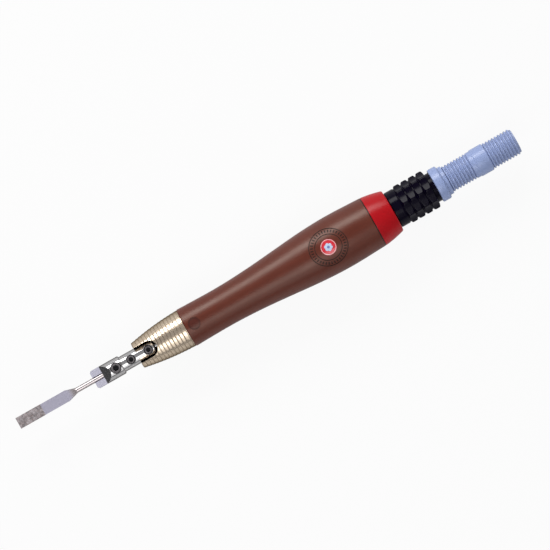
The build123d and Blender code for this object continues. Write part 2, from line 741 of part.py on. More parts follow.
def grip():
    """Waisted and swollen body shell, bored in steps for the tube and the motor housing."""
    body = grip_envelope(0)
    body = fillet(body.edges().filter_by(GeomType.CIRCLE).group_by(Axis.X)[0], GRIP_EDGE)
    body = fillet(body.edges().filter_by(GeomType.CIRCLE).group_by(Axis.X)[-1], SEAM_EDGE)
    neck_bore = housing_neck_radius + SEAT_CLEARANCE
    body -= rod(-OVERRUN, housing_front, tube_radius + SEAT_CLEARANCE)
    body -= turned(
        (housing_front, 0),
        (housing_front, neck_bore),
        (tube_rear, neck_bore),
        (tube_rear + HOUSING_CONE_LENGTH, channel_radius),
        (GRIP_LENGTH + OVERRUN, channel_radius),
        (GRIP_LENGTH + OVERRUN, 0),
    )
    body -= badge_post(SEAT_CLEARANCE) - grip_envelope(-BADGE_THICKNESS)
    for diameter, depth in ((MARK_DIAMETER, MARK_DEPTH), (MARK_RIM_DIAMETER, MARK_RIM_DEPTH)):
        mark = upright(MARK_X, diameter / 2, 0, GRIP_FRONT_DIAMETER)
        body -= mark - grip_envelope(-depth)
    return body - (dial() - grip_envelope(-DIAL_DEPTH))


def badge_post(growth):
    """Upright cylinder through the badge."""
    return upright(BADGE_X, BADGE_DIAMETER / 2 + growth, 0, 2 * grip_bulge_radius)


def dial():
    """Upright cutters for a ring of plain ticks between two lines, round the badge."""
    height = 2 * grip_bulge_radius
    cutters = []
    for length in (DIAL_INNER_LENGTH, DIAL_OUTER_LENGTH):
        half_length = length / 2
        half_breadth = half_length * DIAL_BREADTH_SHARE
        line = Ellipse(half_length, half_breadth)
        line -= Ellipse(half_length - DIAL_LINE_WIDTH, half_breadth - DIAL_LINE_WIDTH)
        cutters.append(Pos(BADGE_X, 0, 0) * extrude(line, height))
    reach = (DIAL_INNER_LENGTH + DIAL_OUTER_LENGTH - DIAL_LINE_WIDTH) / 4
    tick = Box(TICK_LENGTH, TICK_WIDTH, height, align=(Align.CENTER, Align.CENTER, Align.MIN))
    for index in range(DIAL_TICKS):
        turn = math.tau * (index + 0.5) / DIAL_TICKS
        along = reach * math.cos(turn)
        across = reach * math.sin(turn) * DIAL_BREADTH_SHARE
        lean = math.degrees(math.atan2(across, along))
        cutters.append(Pos(BADGE_X + along, across, 0) * Rot(0, 0, lean) * tick)
    return Part() + cutters


def badge_disc():
    """Round inlay that follows the grip's surface."""
    return (badge_post(0) & grip_envelope(BADGE_PROUD)) - grip_envelope(-BADGE_THICKNESS)


def rear_cap():
    """Tapered cap that closes the motor housing, with exhaust slots in its front face."""
    front = Vector(GRIP_LENGTH, grip_rear_radius)
    rear = Vector(cap_rear, CAP_REAR_DIAMETER / 2)
    chord = rear - front
    middle = (front + rear) * 0.5 + Vector(-chord.Y, chord.X).normalized() * CAP_SWELL
    arc = ThreePointArc(front, middle, rear)
    body = revolve(make_face(arc + Polyline(rear, (cap_rear, 0), (GRIP_LENGTH, 0), front)), Axis.X)
    body = fillet(body.edges().filter_by(GeomType.CIRCLE).group_by(Axis.X)[-1], CAP_EDGE)
    body = fillet(body.edges().filter_by(GeomType.CIRCLE).group_by(Axis.X)[0], SEAM_EDGE)
    body += rod(stem_flange_rear, GRIP_LENGTH, housing_bore_radius - THREAD_CLEARANCE)
    lip_bore = housing_radius + SEAT_CLEARANCE
    body += ring(GRIP_LENGTH - CAP_LIP_LENGTH, GRIP_LENGTH, channel_radius - SEAT_CLEARANCE, lip_bore)
    body -= rod(stem_flange_rear - OVERRUN, cap_rear + OVERRUN, sleeve_bore_radius)
    slot_front = GRIP_LENGTH - CAP_LIP_LENGTH
    slot_length = CAP_LIP_LENGTH + CAP_SLOT_DEPTH
    slot = Box(slot_length, CAP_SLOT_WIDTH, channel_radius, align=(Align.MIN, Align.CENTER, Align.MIN))
    return body - around_axis(Pos(slot_front, 0, 0) * slot, EXHAUST_PATHS, exhaust_turn())


def exhaust_turn():
    """Angle of the first exhaust bore, half a step from the supply ports."""
    return 180.0 / EXHAUST_PATHS


def inlet_stem():
    """Core with a split supply bore, valve ports, exhaust bores and seal grooves."""
    tail_radius = STEM_TAIL_DIAMETER / 2
    supply_radius = SUPPLY_BORE / 2
    body = turned(
        (stem_front, 0),
        (stem_front, housing_bore_radius - SEAT_CLEARANCE),
        (stem_flange_rear, housing_bore_radius - SEAT_CLEARANCE),
        (stem_flange_rear, stem_radius),
        (adapter_front, stem_radius),
        (adapter_front, tail_radius),
        (stem_rear, tail_radius),
        (stem_rear, 0),
    )
    plug_front = valve_middle - SUPPLY_PLUG / 2
    plug_rear = valve_middle + SUPPLY_PLUG / 2
    body -= rod(stem_front - OVERRUN, plug_front, supply_radius)
    body -= rod(plug_rear, stem_rear + OVERRUN, supply_radius)
    for side in (-1, 1):
        body -= upright(valve_middle + side * SUPPLY_PORT_SPACING / 2, SUPPLY_PORT / 2, 0, STEM_DIAMETER)
    exhaust_front = GRIP_LENGTH + CAP_SLOT_DEPTH / 2
    circle = EXHAUST_CIRCLE / 2
    length = stem_rear + OVERRUN - exhaust_front
    drill = Rot(0, 90, 0) * Cylinder(EXHAUST_BORE / 2, length)
    bore = Pos(exhaust_front + length / 2, 0, circle) * drill
    port = upright(exhaust_front, EXHAUST_BORE / 2, circle, STEM_DIAMETER)
    body -= around_axis(bore + port, EXHAUST_PATHS, exhaust_turn())
    for x in o_ring_places():
        groove = ring(x - O_RING_SECTION / 2, x + O_RING_SECTION / 2, STEM_DIAMETER, o_ring_floor())
        body -= groove
    return body


def o_ring_floor():
    """Radius of the seal grooves in the stem."""
    return sleeve_bore_radius - O_RING_SECTION - 2 * SEAT_CLEARANCE


def o_ring_places():
    """Middle of each seal groove."""
    inset = VALVE_SLEEVE_INSET + O_RING_INSET
    return (throttle_front + inset, throttle_rear - inset)


def stem_o_rings():
    """Two seals under the valve sleeve."""
    circle = o_ring_floor() + SEAT_CLEARANCE + O_RING_SECTION / 2
    return [torus_on_axis(x, circle, O_RING_SECTION / 2 - SEAT_CLEARANCE) for x in o_ring_places()]


def valve_sleeve():
    """Sleeve whose inner pocket joins the two supply ports when the throttle is turned open."""
    front = throttle_front + VALVE_SLEEVE_INSET
    body = ring(front, throttle_rear - VALVE_SLEEVE_INSET, sleeve_radius, sleeve_bore_radius)
    length = SUPPLY_PORT_SPACING + 2 * SUPPLY_PORT
    height = sleeve_bore_radius + VALVE_POCKET_DEPTH
    pocket = Box(length, VALVE_POCKET_WIDTH, height, align=(Align.CENTER, Align.CENTER, Align.MIN))
    return body - Rot(-THROTTLE_TURN, 0, 0) * Pos(valve_middle, 0, 0) * pocket


def throttle_ring():
    """Finger ring over the valve sleeve, with a plain band in front and fluted rows behind."""
    band = THROTTLE_BAND_DIAMETER / 2
    valley = THROTTLE_VALLEY_DIAMETER / 2
    crest = THROTTLE_ROW_DIAMETER / 2
    bore = sleeve_radius + SEAT_CLEARANCE
    band_end = throttle_front + THROTTLE_BAND_LENGTH
    lip_front = throttle_rear - VALVE_SLEEVE_INSET
    corners = [
        (throttle_front, bore),
        (throttle_front, band - THROTTLE_BAND_EDGE),
        (throttle_front + THROTTLE_BAND_EDGE, band),
        (band_end - THROTTLE_BAND_EDGE, band),
        (band_end, valley),
    ]
    for index in reversed(range(THROTTLE_ROWS)):
        foot = throttle_rear - index * THROTTLE_ROW_PITCH
        rear = foot - THROTTLE_ROW_FLANK
        front = rear - THROTTLE_ROW_CREST
        corners += [(front - THROTTLE_ROW_FLANK, valley), (front, crest), (rear, crest), (foot, valley)]
    corners += [(throttle_rear, sleeve_bore_radius), (lip_front, sleeve_bore_radius), (lip_front, bore)]
    return turned(*corners) - throttle_flutes(band_end, crest)


def throttle_flutes(front, crest):
    """Shallow hollows for the fingers, evenly spaced across all rows."""
    half_chord = crest * math.sin(math.pi / THROTTLE_FLUTES) - THROTTLE_FLUTE_LAND / 2
    floor = math.sqrt(crest**2 - half_chord**2) - THROTTLE_FLUTE_DEPTH
    radius = (half_chord**2 + THROTTLE_FLUTE_DEPTH**2) / (2 * THROTTLE_FLUTE_DEPTH)
    length = throttle_rear + OVERRUN - front
    cutter = Rot(0, 90, 0) * Cylinder(radius, length)
    flute = Pos(front + length / 2, 0, floor + radius) * cutter
    return around_axis(flute, THROTTLE_FLUTES, THROTTLE_FLUTE_TURN)


def hose_adapter():
    """Neck screwed on the stem, with a spigot for the hose cuff."""
    spigot_radius = ADAPTER_SPIGOT_DIAMETER / 2
    neck_radius = ADAPTER_NECK_DIAMETER / 2
    bore = STEM_TAIL_DIAMETER / 2 + THREAD_CLEARANCE
    return turned(
        (adapter_front, bore),
        (adapter_front, neck_radius),
        (cuff_front, neck_radius),
        (cuff_front, spigot_radius),
        (adapter_rear, spigot_radius),
        (adapter_rear, bore),
    )


def hose_cuff():
    """Collar that joins adapter and hose."""
    radius = CUFF_DIAMETER / 2
    step = cuff_front + CUFF_LENGTH
    spigot_bore = ADAPTER_SPIGOT_DIAMETER / 2 + SEAT_CLEARANCE
    hose_bore = HOSE_CREST_DIAMETER / 2 + HOSE_CLEARANCE
    return turned(
        (cuff_front, spigot_bore),
        (cuff_front, radius - CUFF_EDGE),
        (cuff_front + CUFF_EDGE, radius),
        (step - CUFF_EDGE, radius),
        (step, radius - CUFF_EDGE),
        (step, CUFF_NECK_DIAMETER / 2),
        (cuff_rear, CUFF_NECK_DIAMETER / 2),
        (cuff_rear, hose_bore),
        (adapter_rear, hose_bore),
        (adapter_rear, spigot_bore),
    )


def rib_stations(front, count):
    """Four (x, radius) stations for each rib of a ribbed stretch."""
    root = HOSE_ROOT_DIAMETER / 2
    crest = HOSE_CREST_DIAMETER / 2
    stations = []
    for index in range(count):
        middle = front + (index + 0.5) * HOSE_RIB_PITCH
        half = HOSE_RIB_CREST / 2
        foot = half + HOSE_RIB_FLANK
        stations += [(middle - foot, root), (middle - half, crest)]
        stations += [(middle + half, crest), (middle + foot, root)]
    return stations


def exhaust_hose():
    """Straight hose with two ribbed stretches, a smooth band between them and a bore."""
    root = HOSE_ROOT_DIAMETER / 2
    step = band_front + HOSE_BAND_STEP_LENGTH
    stations = [(hose_front, root)] + rib_stations(hose_front, HOSE_FRONT_RIBS)
    stations += [(band_front, root), (band_front + HOSE_RIB_FLANK, HOSE_BAND_STEP_DIAMETER / 2)]
    stations += [(step, HOSE_BAND_STEP_DIAMETER / 2), (step + HOSE_RIB_FLANK, HOSE_BAND_DIAMETER / 2)]
    stations += [(band_rear - HOSE_RIB_FLANK, HOSE_BAND_DIAMETER / 2), (band_rear, root)]
    stations += rib_stations(band_rear, HOSE_REAR_RIBS) + [(hose_rear, root)]
    circles = [Plane((x, 0, 0), z_dir=(1, 0, 0)) * Circle(radius) for x, radius in stations]
    return loft(circles, ruled=True) - rod(hose_front - OVERRUN, hose_rear + OVERRUN, HOSE_BORE / 2)


def air_nipple():
    """Supply spigot screwed into the stem, inside the hose."""
    radius = NIPPLE_DIAMETER / 2
    thread_radius = SUPPLY_BORE / 2 - THREAD_CLEARANCE
    collar_radius = NIPPLE_COLLAR_DIAMETER / 2
    collar_rear = stem_rear + NIPPLE_COLLAR_LENGTH
    bore = NIPPLE_BORE / 2
    return turned(
        (stem_rear - NIPPLE_THREAD_LENGTH, bore),
        (stem_rear - NIPPLE_THREAD_LENGTH, thread_radius),
        (stem_rear, thread_radius),
        (stem_rear, collar_radius),
        (collar_rear, collar_radius),
        (collar_rear, radius),
        (nipple_rear - NIPPLE_CHAMFER, radius),
        (nipple_rear, radius - NIPPLE_CHAMFER),
        (nipple_rear, bore),
    )


def pieces():
    """Every piece of the tool, by name."""
    return {
        "file": file(),
        "file_holder": file_holder(),
        "file_clamp_screw": file_clamp_screw(),
        "plunger_clamp_screws": plunger_clamp_screws(),
        "nose_cone": nose_cone(),
        "wiper_ring": wiper_ring(),
        "front_bush": front_bush(),
        "plunger": plunger(),
        "guide_pin": guide_pin(),
        "return_spring": return_spring(),
        "follower_ball": follower_ball(),
        "body_tube": body_tube(),
        "swash_cam": swash_cam(),
        "rotor_shaft": rotor_shaft(),
        "turbine_wheel": turbine_wheel(),
        "front_bearing_outer_ring": bearing_outer_ring(front_bearing),
        "front_bearing_inner_ring": bearing_inner_ring(front_bearing),
        "front_bearing_balls": bearing_balls(front_bearing),
        "front_bearing_cage": bearing_cage(front_bearing),
        "rear_bearing_outer_ring": bearing_outer_ring(rear_bearing),
        "rear_bearing_inner_ring": bearing_inner_ring(rear_bearing),
        "rear_bearing_balls": bearing_balls(rear_bearing),
        "rear_bearing_cage": bearing_cage(rear_bearing),
        "motor_housing": motor_housing(),
        "nozzle_ring": nozzle_ring(),
        "wave_washer": wave_washer(),
        "bearing_retainer": bearing_retainer(),
        "spacer_tube": spacer_tube(),
        "grip": grip(),
        "badge_disc": badge_disc(),
        "rear_cap": rear_cap(),
        "inlet_stem": inlet_stem(),
        "stem_o_rings": stem_o_rings(),
        "valve_sleeve": valve_sleeve(),
        "throttle_ring": throttle_ring(),
        "hose_adapter": hose_adapter(),
        "hose_cuff": hose_cuff(),
        "exhaust_hose": exhaust_hose(),
        "air_nipple": air_nipple(),
    }


def main():
    """Write one file for each piece."""
    os.makedirs("parts", exist_ok=True)
    for name, shape in pieces().items():
        if isinstance(shape, list):
            shape = Compound(children=shape)
        export_step(shape, f"parts/{name}.step")


main()
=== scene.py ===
"""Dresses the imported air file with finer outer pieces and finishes, and sets its studio and camera.

Sizes and places are in millimetres, apart from the studio's.
"""

import json
import logging
import math
from abc import ABC, abstractmethod
from dataclasses import dataclass
from enum import Enum
from typing import Any, Callable, ClassVar, Sequence, Union

import bmesh
import bpy
from mathutils import Matrix, Vector


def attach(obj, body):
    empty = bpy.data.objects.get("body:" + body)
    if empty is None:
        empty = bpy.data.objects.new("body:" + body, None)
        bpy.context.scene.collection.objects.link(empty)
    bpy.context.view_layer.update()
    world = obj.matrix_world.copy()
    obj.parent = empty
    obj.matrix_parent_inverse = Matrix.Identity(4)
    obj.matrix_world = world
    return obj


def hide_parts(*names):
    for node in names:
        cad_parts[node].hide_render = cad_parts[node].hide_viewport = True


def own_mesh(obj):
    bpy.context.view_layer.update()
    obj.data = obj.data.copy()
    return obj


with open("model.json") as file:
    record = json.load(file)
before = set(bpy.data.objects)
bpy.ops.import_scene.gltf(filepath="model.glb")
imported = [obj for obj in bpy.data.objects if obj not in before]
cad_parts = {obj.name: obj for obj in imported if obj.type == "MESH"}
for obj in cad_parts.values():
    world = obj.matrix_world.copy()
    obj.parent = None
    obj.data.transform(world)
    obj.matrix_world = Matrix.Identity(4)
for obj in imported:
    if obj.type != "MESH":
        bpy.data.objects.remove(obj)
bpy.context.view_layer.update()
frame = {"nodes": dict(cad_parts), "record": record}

LOG = logging.getLogger("air_file")
MM = 0.001
DEGREES = 180.0 / math.pi
CREASE = math.radians(40.0)
MERGE_DISTANCE = 1e-7
HAIR = 0.02
WHITE = (1.0, 1.0, 1.0)
EDGE_TINT = (0.12, 0.11, 0.10)

# Places along the axis and radii that two classes share
GROOVE_FIRST = -2.2
GROOVE_PITCH = 1.7
BADGE_X = 71.8
CAP_SEAM = 94.5
HOSE_ROOT = 5.55
HOSE_CREST = 6.2

Rgb = tuple[float, float, float]
Span = tuple[float, float]
Band = tuple[float, float, float]
Corner = tuple[float, float, float]
Socket = bpy.types.NodeSocket
Sockets = dict[str | int, Any]
Value = Union["Field", float]


class Grain(Enum):
    """Ways in which a surface was worked, with the stretch of its marks along x, y and z."""

    TURNED = (1.0, 0.02, 0.02)
    PLATED = (1.0, 0.03, 0.03)
    DRAWN = (0.03, 1.0, 1.0)
    GROUND = (0.12, 3.0, 3.0)
    MILLED = (9.0, 0.4, 0.4)
    STREAKED = (0.12, 0.8, 0.8)


@dataclass(frozen=True)
class Field:
    """A shader value on which Python arithmetic adds Math nodes."""

    graph: "Graph"
    socket: Socket

    def __add__(self, other: Value) -> "Field":
        """Adds a value."""
        return self.graph.math("ADD", self, other)

    def __radd__(self, other: Value) -> "Field":
        """Is added to a value."""
        return self.graph.math("ADD", other, self)

    def __sub__(self, other: Value) -> "Field":
        """Takes a value away."""
        return self.graph.math("SUBTRACT", self, other)

    def __rsub__(self, other: Value) -> "Field":
        """Is taken away from a value."""
        return self.graph.math("SUBTRACT", other, self)

    def __mul__(self, other: Value) -> "Field":
        """Multiplies by a value."""
        return self.graph.math("MULTIPLY", self, other)

    def __rmul__(self, other: Value) -> "Field":
        """Multiplies a value."""
        return self.graph.math("MULTIPLY", other, self)

    def __truediv__(self, other: Value) -> "Field":
        """Divides by a value."""
        return self.graph.math("DIVIDE", self, other)

    def __rtruediv__(self, other: Value) -> "Field":
        """Divides a value."""
        return self.graph.math("DIVIDE", other, self)

    def __abs__(self) -> "Field":
        """Drops the sign."""
        return self.graph.math("ABSOLUTE", self)


class Graph:
    """A node tree, with short calls for the nodes that the finishes share."""

    def __init__(self, tree: bpy.types.NodeTree) -> None:
        """Empties the tree."""
        self.tree = tree
        tree.nodes.clear()

    def add(
        self, kind: str, settings: dict[str, Any] | None = None, sockets: Sockets | None = None
    ) -> bpy.types.Node:
        """Adds one node.

        Args:
            kind: The node's type, without its ShaderNode prefix.
            settings: The node's own settings, which are set first.
            sockets: Values or links of its inputs, by name or number.

        Returns:
            The new node.
        """
        node = self.tree.nodes.new("ShaderNode" + kind)
        for key, value in (settings or {}).items():
            setattr(node, key, value)
        for key, value in (sockets or {}).items():
            target = node.inputs[key]
            source = value.socket if isinstance(value, Field) else value
            if isinstance(source, Socket):
                self.tree.links.new(source, target)
            elif target.type == "RGBA":
                target.default_value = (*source[:3], 1.0)
            else:
                target.default_value = source
        return node

    def math(self, operation: str, *values: Value) -> Field:
        """Adds a Math node on one to three values."""
        node = self.add("Math", {"operation": operation}, dict(enumerate(values)))
        return Field(self, node.outputs[0])

    def vector(self, operation: str, *vectors: Any, **named: Any) -> Socket:
        """Adds a Vector Math node and gives its vector."""
        sockets = {**dict(enumerate(vectors)), **named}
        return self.add("VectorMath", {"operation": operation}, sockets).outputs["Vector"]

    def place(self) -> Socket:
        """Gives the point on the piece in millimetres."""
        return self.vector("SCALE", self.add("TexCoord").outputs["Object"], Scale=1 / MM)

    def split(self, vector: Socket) -> list[Field]:
        """Gives a vector's x, y and z."""
        parts = self.add("SeparateXYZ", None, {0: vector}).outputs
        return [Field(self, part) for part in parts]

    def hypot(self, first: Field, second: Field) -> Field:
        """Gives the distance that two values at right angles make."""
        return self.math("SQRT", first * first + second * second)

    def step(self, value: Value, low: float, high: float) -> Field:
        """Rises smoothly from 0 to 1, or falls where low is the larger.

        Args:
            value: The value to compare.
            low: Where the result is 0.
            high: Where the result is 1.

        Returns:
            The result, from 0 to 1.
        """
        if low > high:
            return 1.0 - self.step(value, high, low)
        settings = {"interpolation_type": "SMOOTHSTEP"}
        sockets = {"Value": value, "From Min": low, "From Max": high}
        return Field(self, self.add("MapRange", settings, sockets).outputs[0])

    def band(self, value: Value, low: float, high: float, soft: float) -> Field:
        """Is 1 between low and high, and falls to 0 over a soft edge outside them."""
        return self.step(value, low - soft, low) * self.step(value, high + soft, high)

    def noise(
        self, vector: Socket, scale: float, detail: float = 2.0, rough: float = 0.5,
        grain: Grain | None = None,
    ) -> Field:
        """Adds cloudy noise.

        Args:
            vector: The point in millimetres.
            scale: Waves in a millimetre.
            detail: Number of finer layers.
            rough: Share of the finer layers.
            grain: The working that stretches the noise, if any.

        Returns:
            The noise, from 0 to 1.
        """
        point = self.vector("MULTIPLY", vector, grain.value) if grain else vector
        sockets = {"Vector": point, "Scale": scale, "Detail": detail, "Roughness": rough}
        return Field(self, self.add("TexNoise", None, sockets).outputs[0])

    def mix(self, factor: Value, first: Any, second: Any) -> Socket:
        """Blends two colours, from the first at 0 to the second at 1."""
        settings = {"data_type": "RGBA"}
        return self.add("Mix", settings, {0: factor, 6: first, 7: second}).outputs[2]

    def shades(self, factor: Value, colour: Rgb, dark: float, light: float) -> Socket:
        """Blends a colour from its dark shade at 0 to its light one at 1."""
        return self.mix(factor, tinted(colour, dark), tinted(colour, light))

    def bump(self, height: Field, depth: float) -> Socket:
        """Turns a height of 0 to 1 into a normal, with depth in millimetres."""
        return self.add("Bump", None, {"Distance": depth * MM, "Height": height}).outputs[0]


def tinted(colour: Rgb, share: float) -> Rgb:
    """Scales a colour's lightness."""
    return tuple(min(1.0, part * share) for part in colour)


@dataclass(frozen=True)
class Finish(ABC):
    """A surface that makes its own material."""

    name: str

    def material(self) -> bpy.types.Material:
        """Makes the finish's material.

        Returns:
            A material whose nodes the finish has laid out.
        """
        material = bpy.data.materials.new(self.name)
        material.use_nodes = True
        graph = Graph(material.node_tree)
        shader = graph.add("BsdfPrincipled", None, self.paint(graph))
        graph.add("OutputMaterial", None, {"Surface": self.surface(graph, shader)})
        return material

    @abstractmethod
    def paint(self, graph: Graph) -> Sockets:
        """Lays out the finish's nodes and gives the shader's inputs."""

    def surface(self, graph: Graph, shader: bpy.types.Node) -> Socket:
        """Gives what the piece shows, which is the shader alone."""
        return shader.outputs[0]


@dataclass(frozen=True)
class MachinedMetal(Finish):
    """Bare metal with the marks of its working and a faint film of oil."""

    colour: Rgb
    rough: float = 0.25
    grain: Grain = Grain.TURNED
    pitch: float = 0.12
    depth: float = 0.004
    film: float = 0.12

    def tone(self, graph: Graph, factor: Value) -> Socket:
        """Gives the metal's colour under more or less of its film."""
        return graph.shades(factor, self.colour, 1 - self.film, 1 + self.film)

    def paint(self, graph: Graph) -> Sockets:
        """Lays out grain, film and tone.

        Args:
            graph: The material's nodes.

        Returns:
            The shader's inputs.
        """
        vector = graph.place()
        marks = graph.noise(vector, 1 / self.pitch, detail=3.0, rough=0.6, grain=self.grain)
        cloud = graph.noise(vector, scale=0.35, detail=4.0)
        return {
            "Base Color": self.tone(graph, graph.step(cloud * 0.7 + marks * 0.3, 0.25, 0.75)),
            "Metallic": 1.0,
            "Specular Tint": EDGE_TINT,
            "Roughness": self.rough + (marks - 0.5) * 0.16 + (cloud - 0.5) * 0.14,
            "Normal": graph.bump(marks, self.depth),
        }


@dataclass(frozen=True)
class HolderSteel(MachinedMetal):
    """Polished bar with milled flats at its front."""

    flat_rear: Span = (-41.9, -42.0)
    flat_top: Span = (1.32, 1.22)
    mill_colour: Rgb = (0.50, 0.49, 0.58)
    mill_height: float = 3.0
    mill_plain: float = 0.55
    mill_dull: float = 0.32

    def paint(self, graph: Graph) -> Sockets:
        """Lays out the polished bar and the milled flats.

        Args:
            graph: The material's nodes.

        Returns:
            The shader's inputs.
        """
        vector = graph.place()
        x, _, z = graph.split(vector)
        rings = graph.noise(vector, 1 / self.pitch, grain=Grain.TURNED)
        cloud = graph.noise(vector, scale=0.5, detail=4.0)
        cutter = graph.noise(vector, scale=1.0, grain=Grain.MILLED)
        milled = graph.step(x, *self.flat_rear) * graph.step(z, *self.flat_top)
        matt = graph.shades(cutter, self.mill_colour, 0.9, 1.08)
        height = rings * (1.0 - milled) + cutter * milled * self.mill_height
        return {
            "Base Color": graph.mix(milled, self.tone(graph, cloud), matt),
            "Metallic": 1.0 - milled * self.mill_plain,
            "Specular Tint": EDGE_TINT,
            "Roughness": self.rough + rings * 0.06 + cloud * 0.05 + milled * self.mill_dull,
            "Normal": graph.bump(height, self.depth),
        }


@dataclass(frozen=True)
class FileSteel(MachinedMetal):
    """Ground and plated file blank with bonded grit at its tip."""

    grit_rear: Span = (-72.4, -72.7)
    grit_depth: float = 0.06
    grit_colour: Rgb = (0.318, 0.290, 0.298)
    grains: float = 5.2
    rust_colour: Rgb = (0.25, 0.12, 0.09)
    neck: Span = (-59.7, -56.3)
    shank_colour: Rgb = (0.47, 0.425, 0.425)

    def paint(self, graph: Graph) -> Sockets:
        """Lays out grind marks on the blank and grains on its tip.

        Args:
            graph: The material's nodes.

        Returns:
            The shader's inputs.
        """
        vector = graph.place()
        x = graph.split(vector)[0]
        grind = graph.noise(vector, scale=2.2, detail=3.0, rough=0.6, grain=Grain.GROUND)
        cloud = graph.noise(vector, scale=0.6, detail=3.0)
        ragged = x + (graph.noise(vector, scale=3.5) - 0.5) * 0.5
        grit = graph.step(ragged, *self.grit_rear)
        cells = graph.add("TexVoronoi", None, {"Vector": vector, "Scale": self.grains}).outputs
        crowns = graph.step(Field(graph, cells["Distance"]), 0.75, 0.1)
        shade = graph.split(cells["Color"])[0]
        patch = graph.step(graph.noise(vector, scale=0.9, detail=3.0), 0.32, 0.68)
        coat = graph.shades(shade * 0.45 + patch * 0.6, self.grit_colour, 0.45, 1.6)
        coat = graph.mix(graph.step(shade, 0.78, 0.86) * 0.45, coat, self.rust_colour)
        shank = graph.step(x, *self.neck)
        blank = self.tone(graph, grind * 0.6 + cloud * 0.4)
        gloss = self.rough + grind * 0.1 - shank * 0.24
        return {
            "Base Color": graph.mix(grit, graph.mix(shank, blank, self.shank_colour), coat),
            "Specular Tint": EDGE_TINT,
            "Metallic": 0.55 + 0.4 * shank - grit * 0.25,
            "Roughness": gloss + grit * 0.12 + shade * grit * 0.12,
            "Normal": graph.bump(grind * (1.0 - grit) * 0.03 + crowns * grit, self.grit_depth),
        }


@dataclass(frozen=True)
class NoseNickel(MachinedMetal):
    """Warm plated turning, with deposits and painted shade in its grooves and its bore painted dark as
    shade.
    """

    groove_reach: Span = (0.26, 0.06)
    # Colour and share of the grooves: deposits plus painted shade.
    residue: Rgb = (0.20, 0.15, 0.10)
    residue_share: float = 0.6
    bore: Span = (4.55, 4.4)
    # Painted shade: the near-black colour of the bore.
    bore_colour: Rgb = (0.02, 0.019, 0.018)

    def paint(self, graph: Graph) -> Sockets:
        """Lays out bright rings, the grooves between them with painted shade, and the bore painted dark
        as shade.

        Args:
            graph: The material's nodes.

        Returns:
            The shader's inputs.
        """
        vector = graph.place()
        x, y, z = graph.split(vector)
        rings = graph.noise(vector, 1 / self.pitch, detail=3.0, grain=Grain.PLATED)
        cloud = graph.noise(vector, scale=0.45, detail=4.0)
        turn = (x - GROOVE_FIRST) / GROOVE_PITCH + 0.5
        beside = abs(graph.math("FRACT", turn) - 0.5) * GROOVE_PITCH
        # Groove mask: darkens each groove, partly deposits and partly painted shade.
        groove = graph.step(beside + (cloud - 0.5) * 0.12, *self.groove_reach)
        # Painted shade: inside this radius the bore is painted near-black, less metallic and duller.
        bore = graph.step(graph.hypot(y, z), *self.bore)
        outside = graph.mix(groove * self.residue_share, self.tone(graph, cloud), self.residue)
        return {
            "Base Color": graph.mix(bore, outside, self.bore_colour),
            "Metallic": 1.0 - bore * 0.4,
            "Specular Tint": EDGE_TINT,
            "Roughness": self.rough + rings * 0.1 + groove * 0.2 + bore * 0.2,
            "Normal": graph.bump(rings, self.depth),
        }


@dataclass(frozen=True)
class BlackOxide(MachinedMetal):
    """Blackened screw, rubbed bright on its rim."""

    rim_bands: tuple[Band, ...] = ((4.04, 4.2, 0.05), (3.29, 3.45, 0.05))
    worn_colour: Rgb = (0.34, 0.31, 0.32)
    metallic: float = 0.8

    def paint(self, graph: Graph) -> Sockets:
        """Lays out the oxide and the rubbed tops.

        Args:
            graph: The material's nodes.

        Returns:
            The shader's inputs.
        """
        vector = graph.place()
        z = graph.split(vector)[2]
        cloud = graph.noise(vector, scale=2.2, detail=4.0, rough=0.6)
        specks = graph.noise(vector, scale=9.0)
        top = graph.math("MAXIMUM", *(graph.band(z, *band) for band in self.rim_bands))
        worn = top * (0.25 + 0.45 * graph.step(cloud * 0.6 + specks * 0.4, 0.4, 0.6))
        return {
            "Base Color": graph.mix(worn, self.colour, self.worn_colour),
            "Metallic": self.metallic,
            "Roughness": self.rough + cloud * 0.2,
            "Normal": graph.bump(specks, self.depth),
        }


@dataclass(frozen=True)
class GapShadedBronze(MachinedMetal):
    """Machined bronze, painted near-black as shade where the outer pieces leave a gap."""

    gaps: Span = (104.5, 124.1)
    reach: Span = (1.0, 0.6)
    # Painted shade for the gaps: its near-black colour and the duller gloss that goes with it.
    grime: Rgb = (0.006, 0.005, 0.004)
    grime_dull: float = 0.3

    def paint(self, graph: Graph) -> Sockets:
        """Lays out the bare bronze, then painted shade at the gaps.

        Args:
            graph: The material's nodes.

        Returns:
            The shader's inputs.
        """
        bare = super().paint(graph)
        x = graph.split(graph.place())[0]
        # This mask is painted shade at the gaps: the bronze turns near-black, not metallic and duller
        # there.
        oil = graph.math("MAXIMUM", *(graph.step(abs(x - gap), *self.reach) for gap in self.gaps))
        return bare | {
            "Base Color": graph.mix(oil, bare["Base Color"], self.grime),
            "Metallic": 1.0 - oil,
            "Roughness": bare["Roughness"] + oil * self.grime_dull,
        }


@dataclass(frozen=True)
class MouldedPlastic(Finish):
    """Plain moulded plastic or rubber with a fine eroded texture."""

    colour: Rgb
    rough: float = 0.45
    texture: float = 4.0
    depth: float = 0.01
    mottle: float = 0.12
    shine: float = 0.35

    def tone(self, graph: Graph, vector: Socket) -> Socket:
        """Gives the plastic's colour with its faint flow marks."""
        cloud = graph.noise(vector, scale=0.22, detail=4.0, rough=0.55)
        return graph.shades(cloud, self.colour, 1 - self.mottle, 1 + self.mottle)

    def paint(self, graph: Graph) -> Sockets:
        """Lays out colour, gloss and texture.

        Args:
            graph: The material's nodes.

        Returns:
            The shader's inputs.
        """
        vector = graph.place()
        pits = graph.noise(vector, self.texture, detail=3.0, rough=0.6)
        return {
            "Base Color": self.tone(graph, vector),
            "Roughness": self.rough + (pits - 0.5) * 0.16,
            "Specular IOR Level": self.shine,
            "Normal": graph.bump(pits, self.depth),
        }


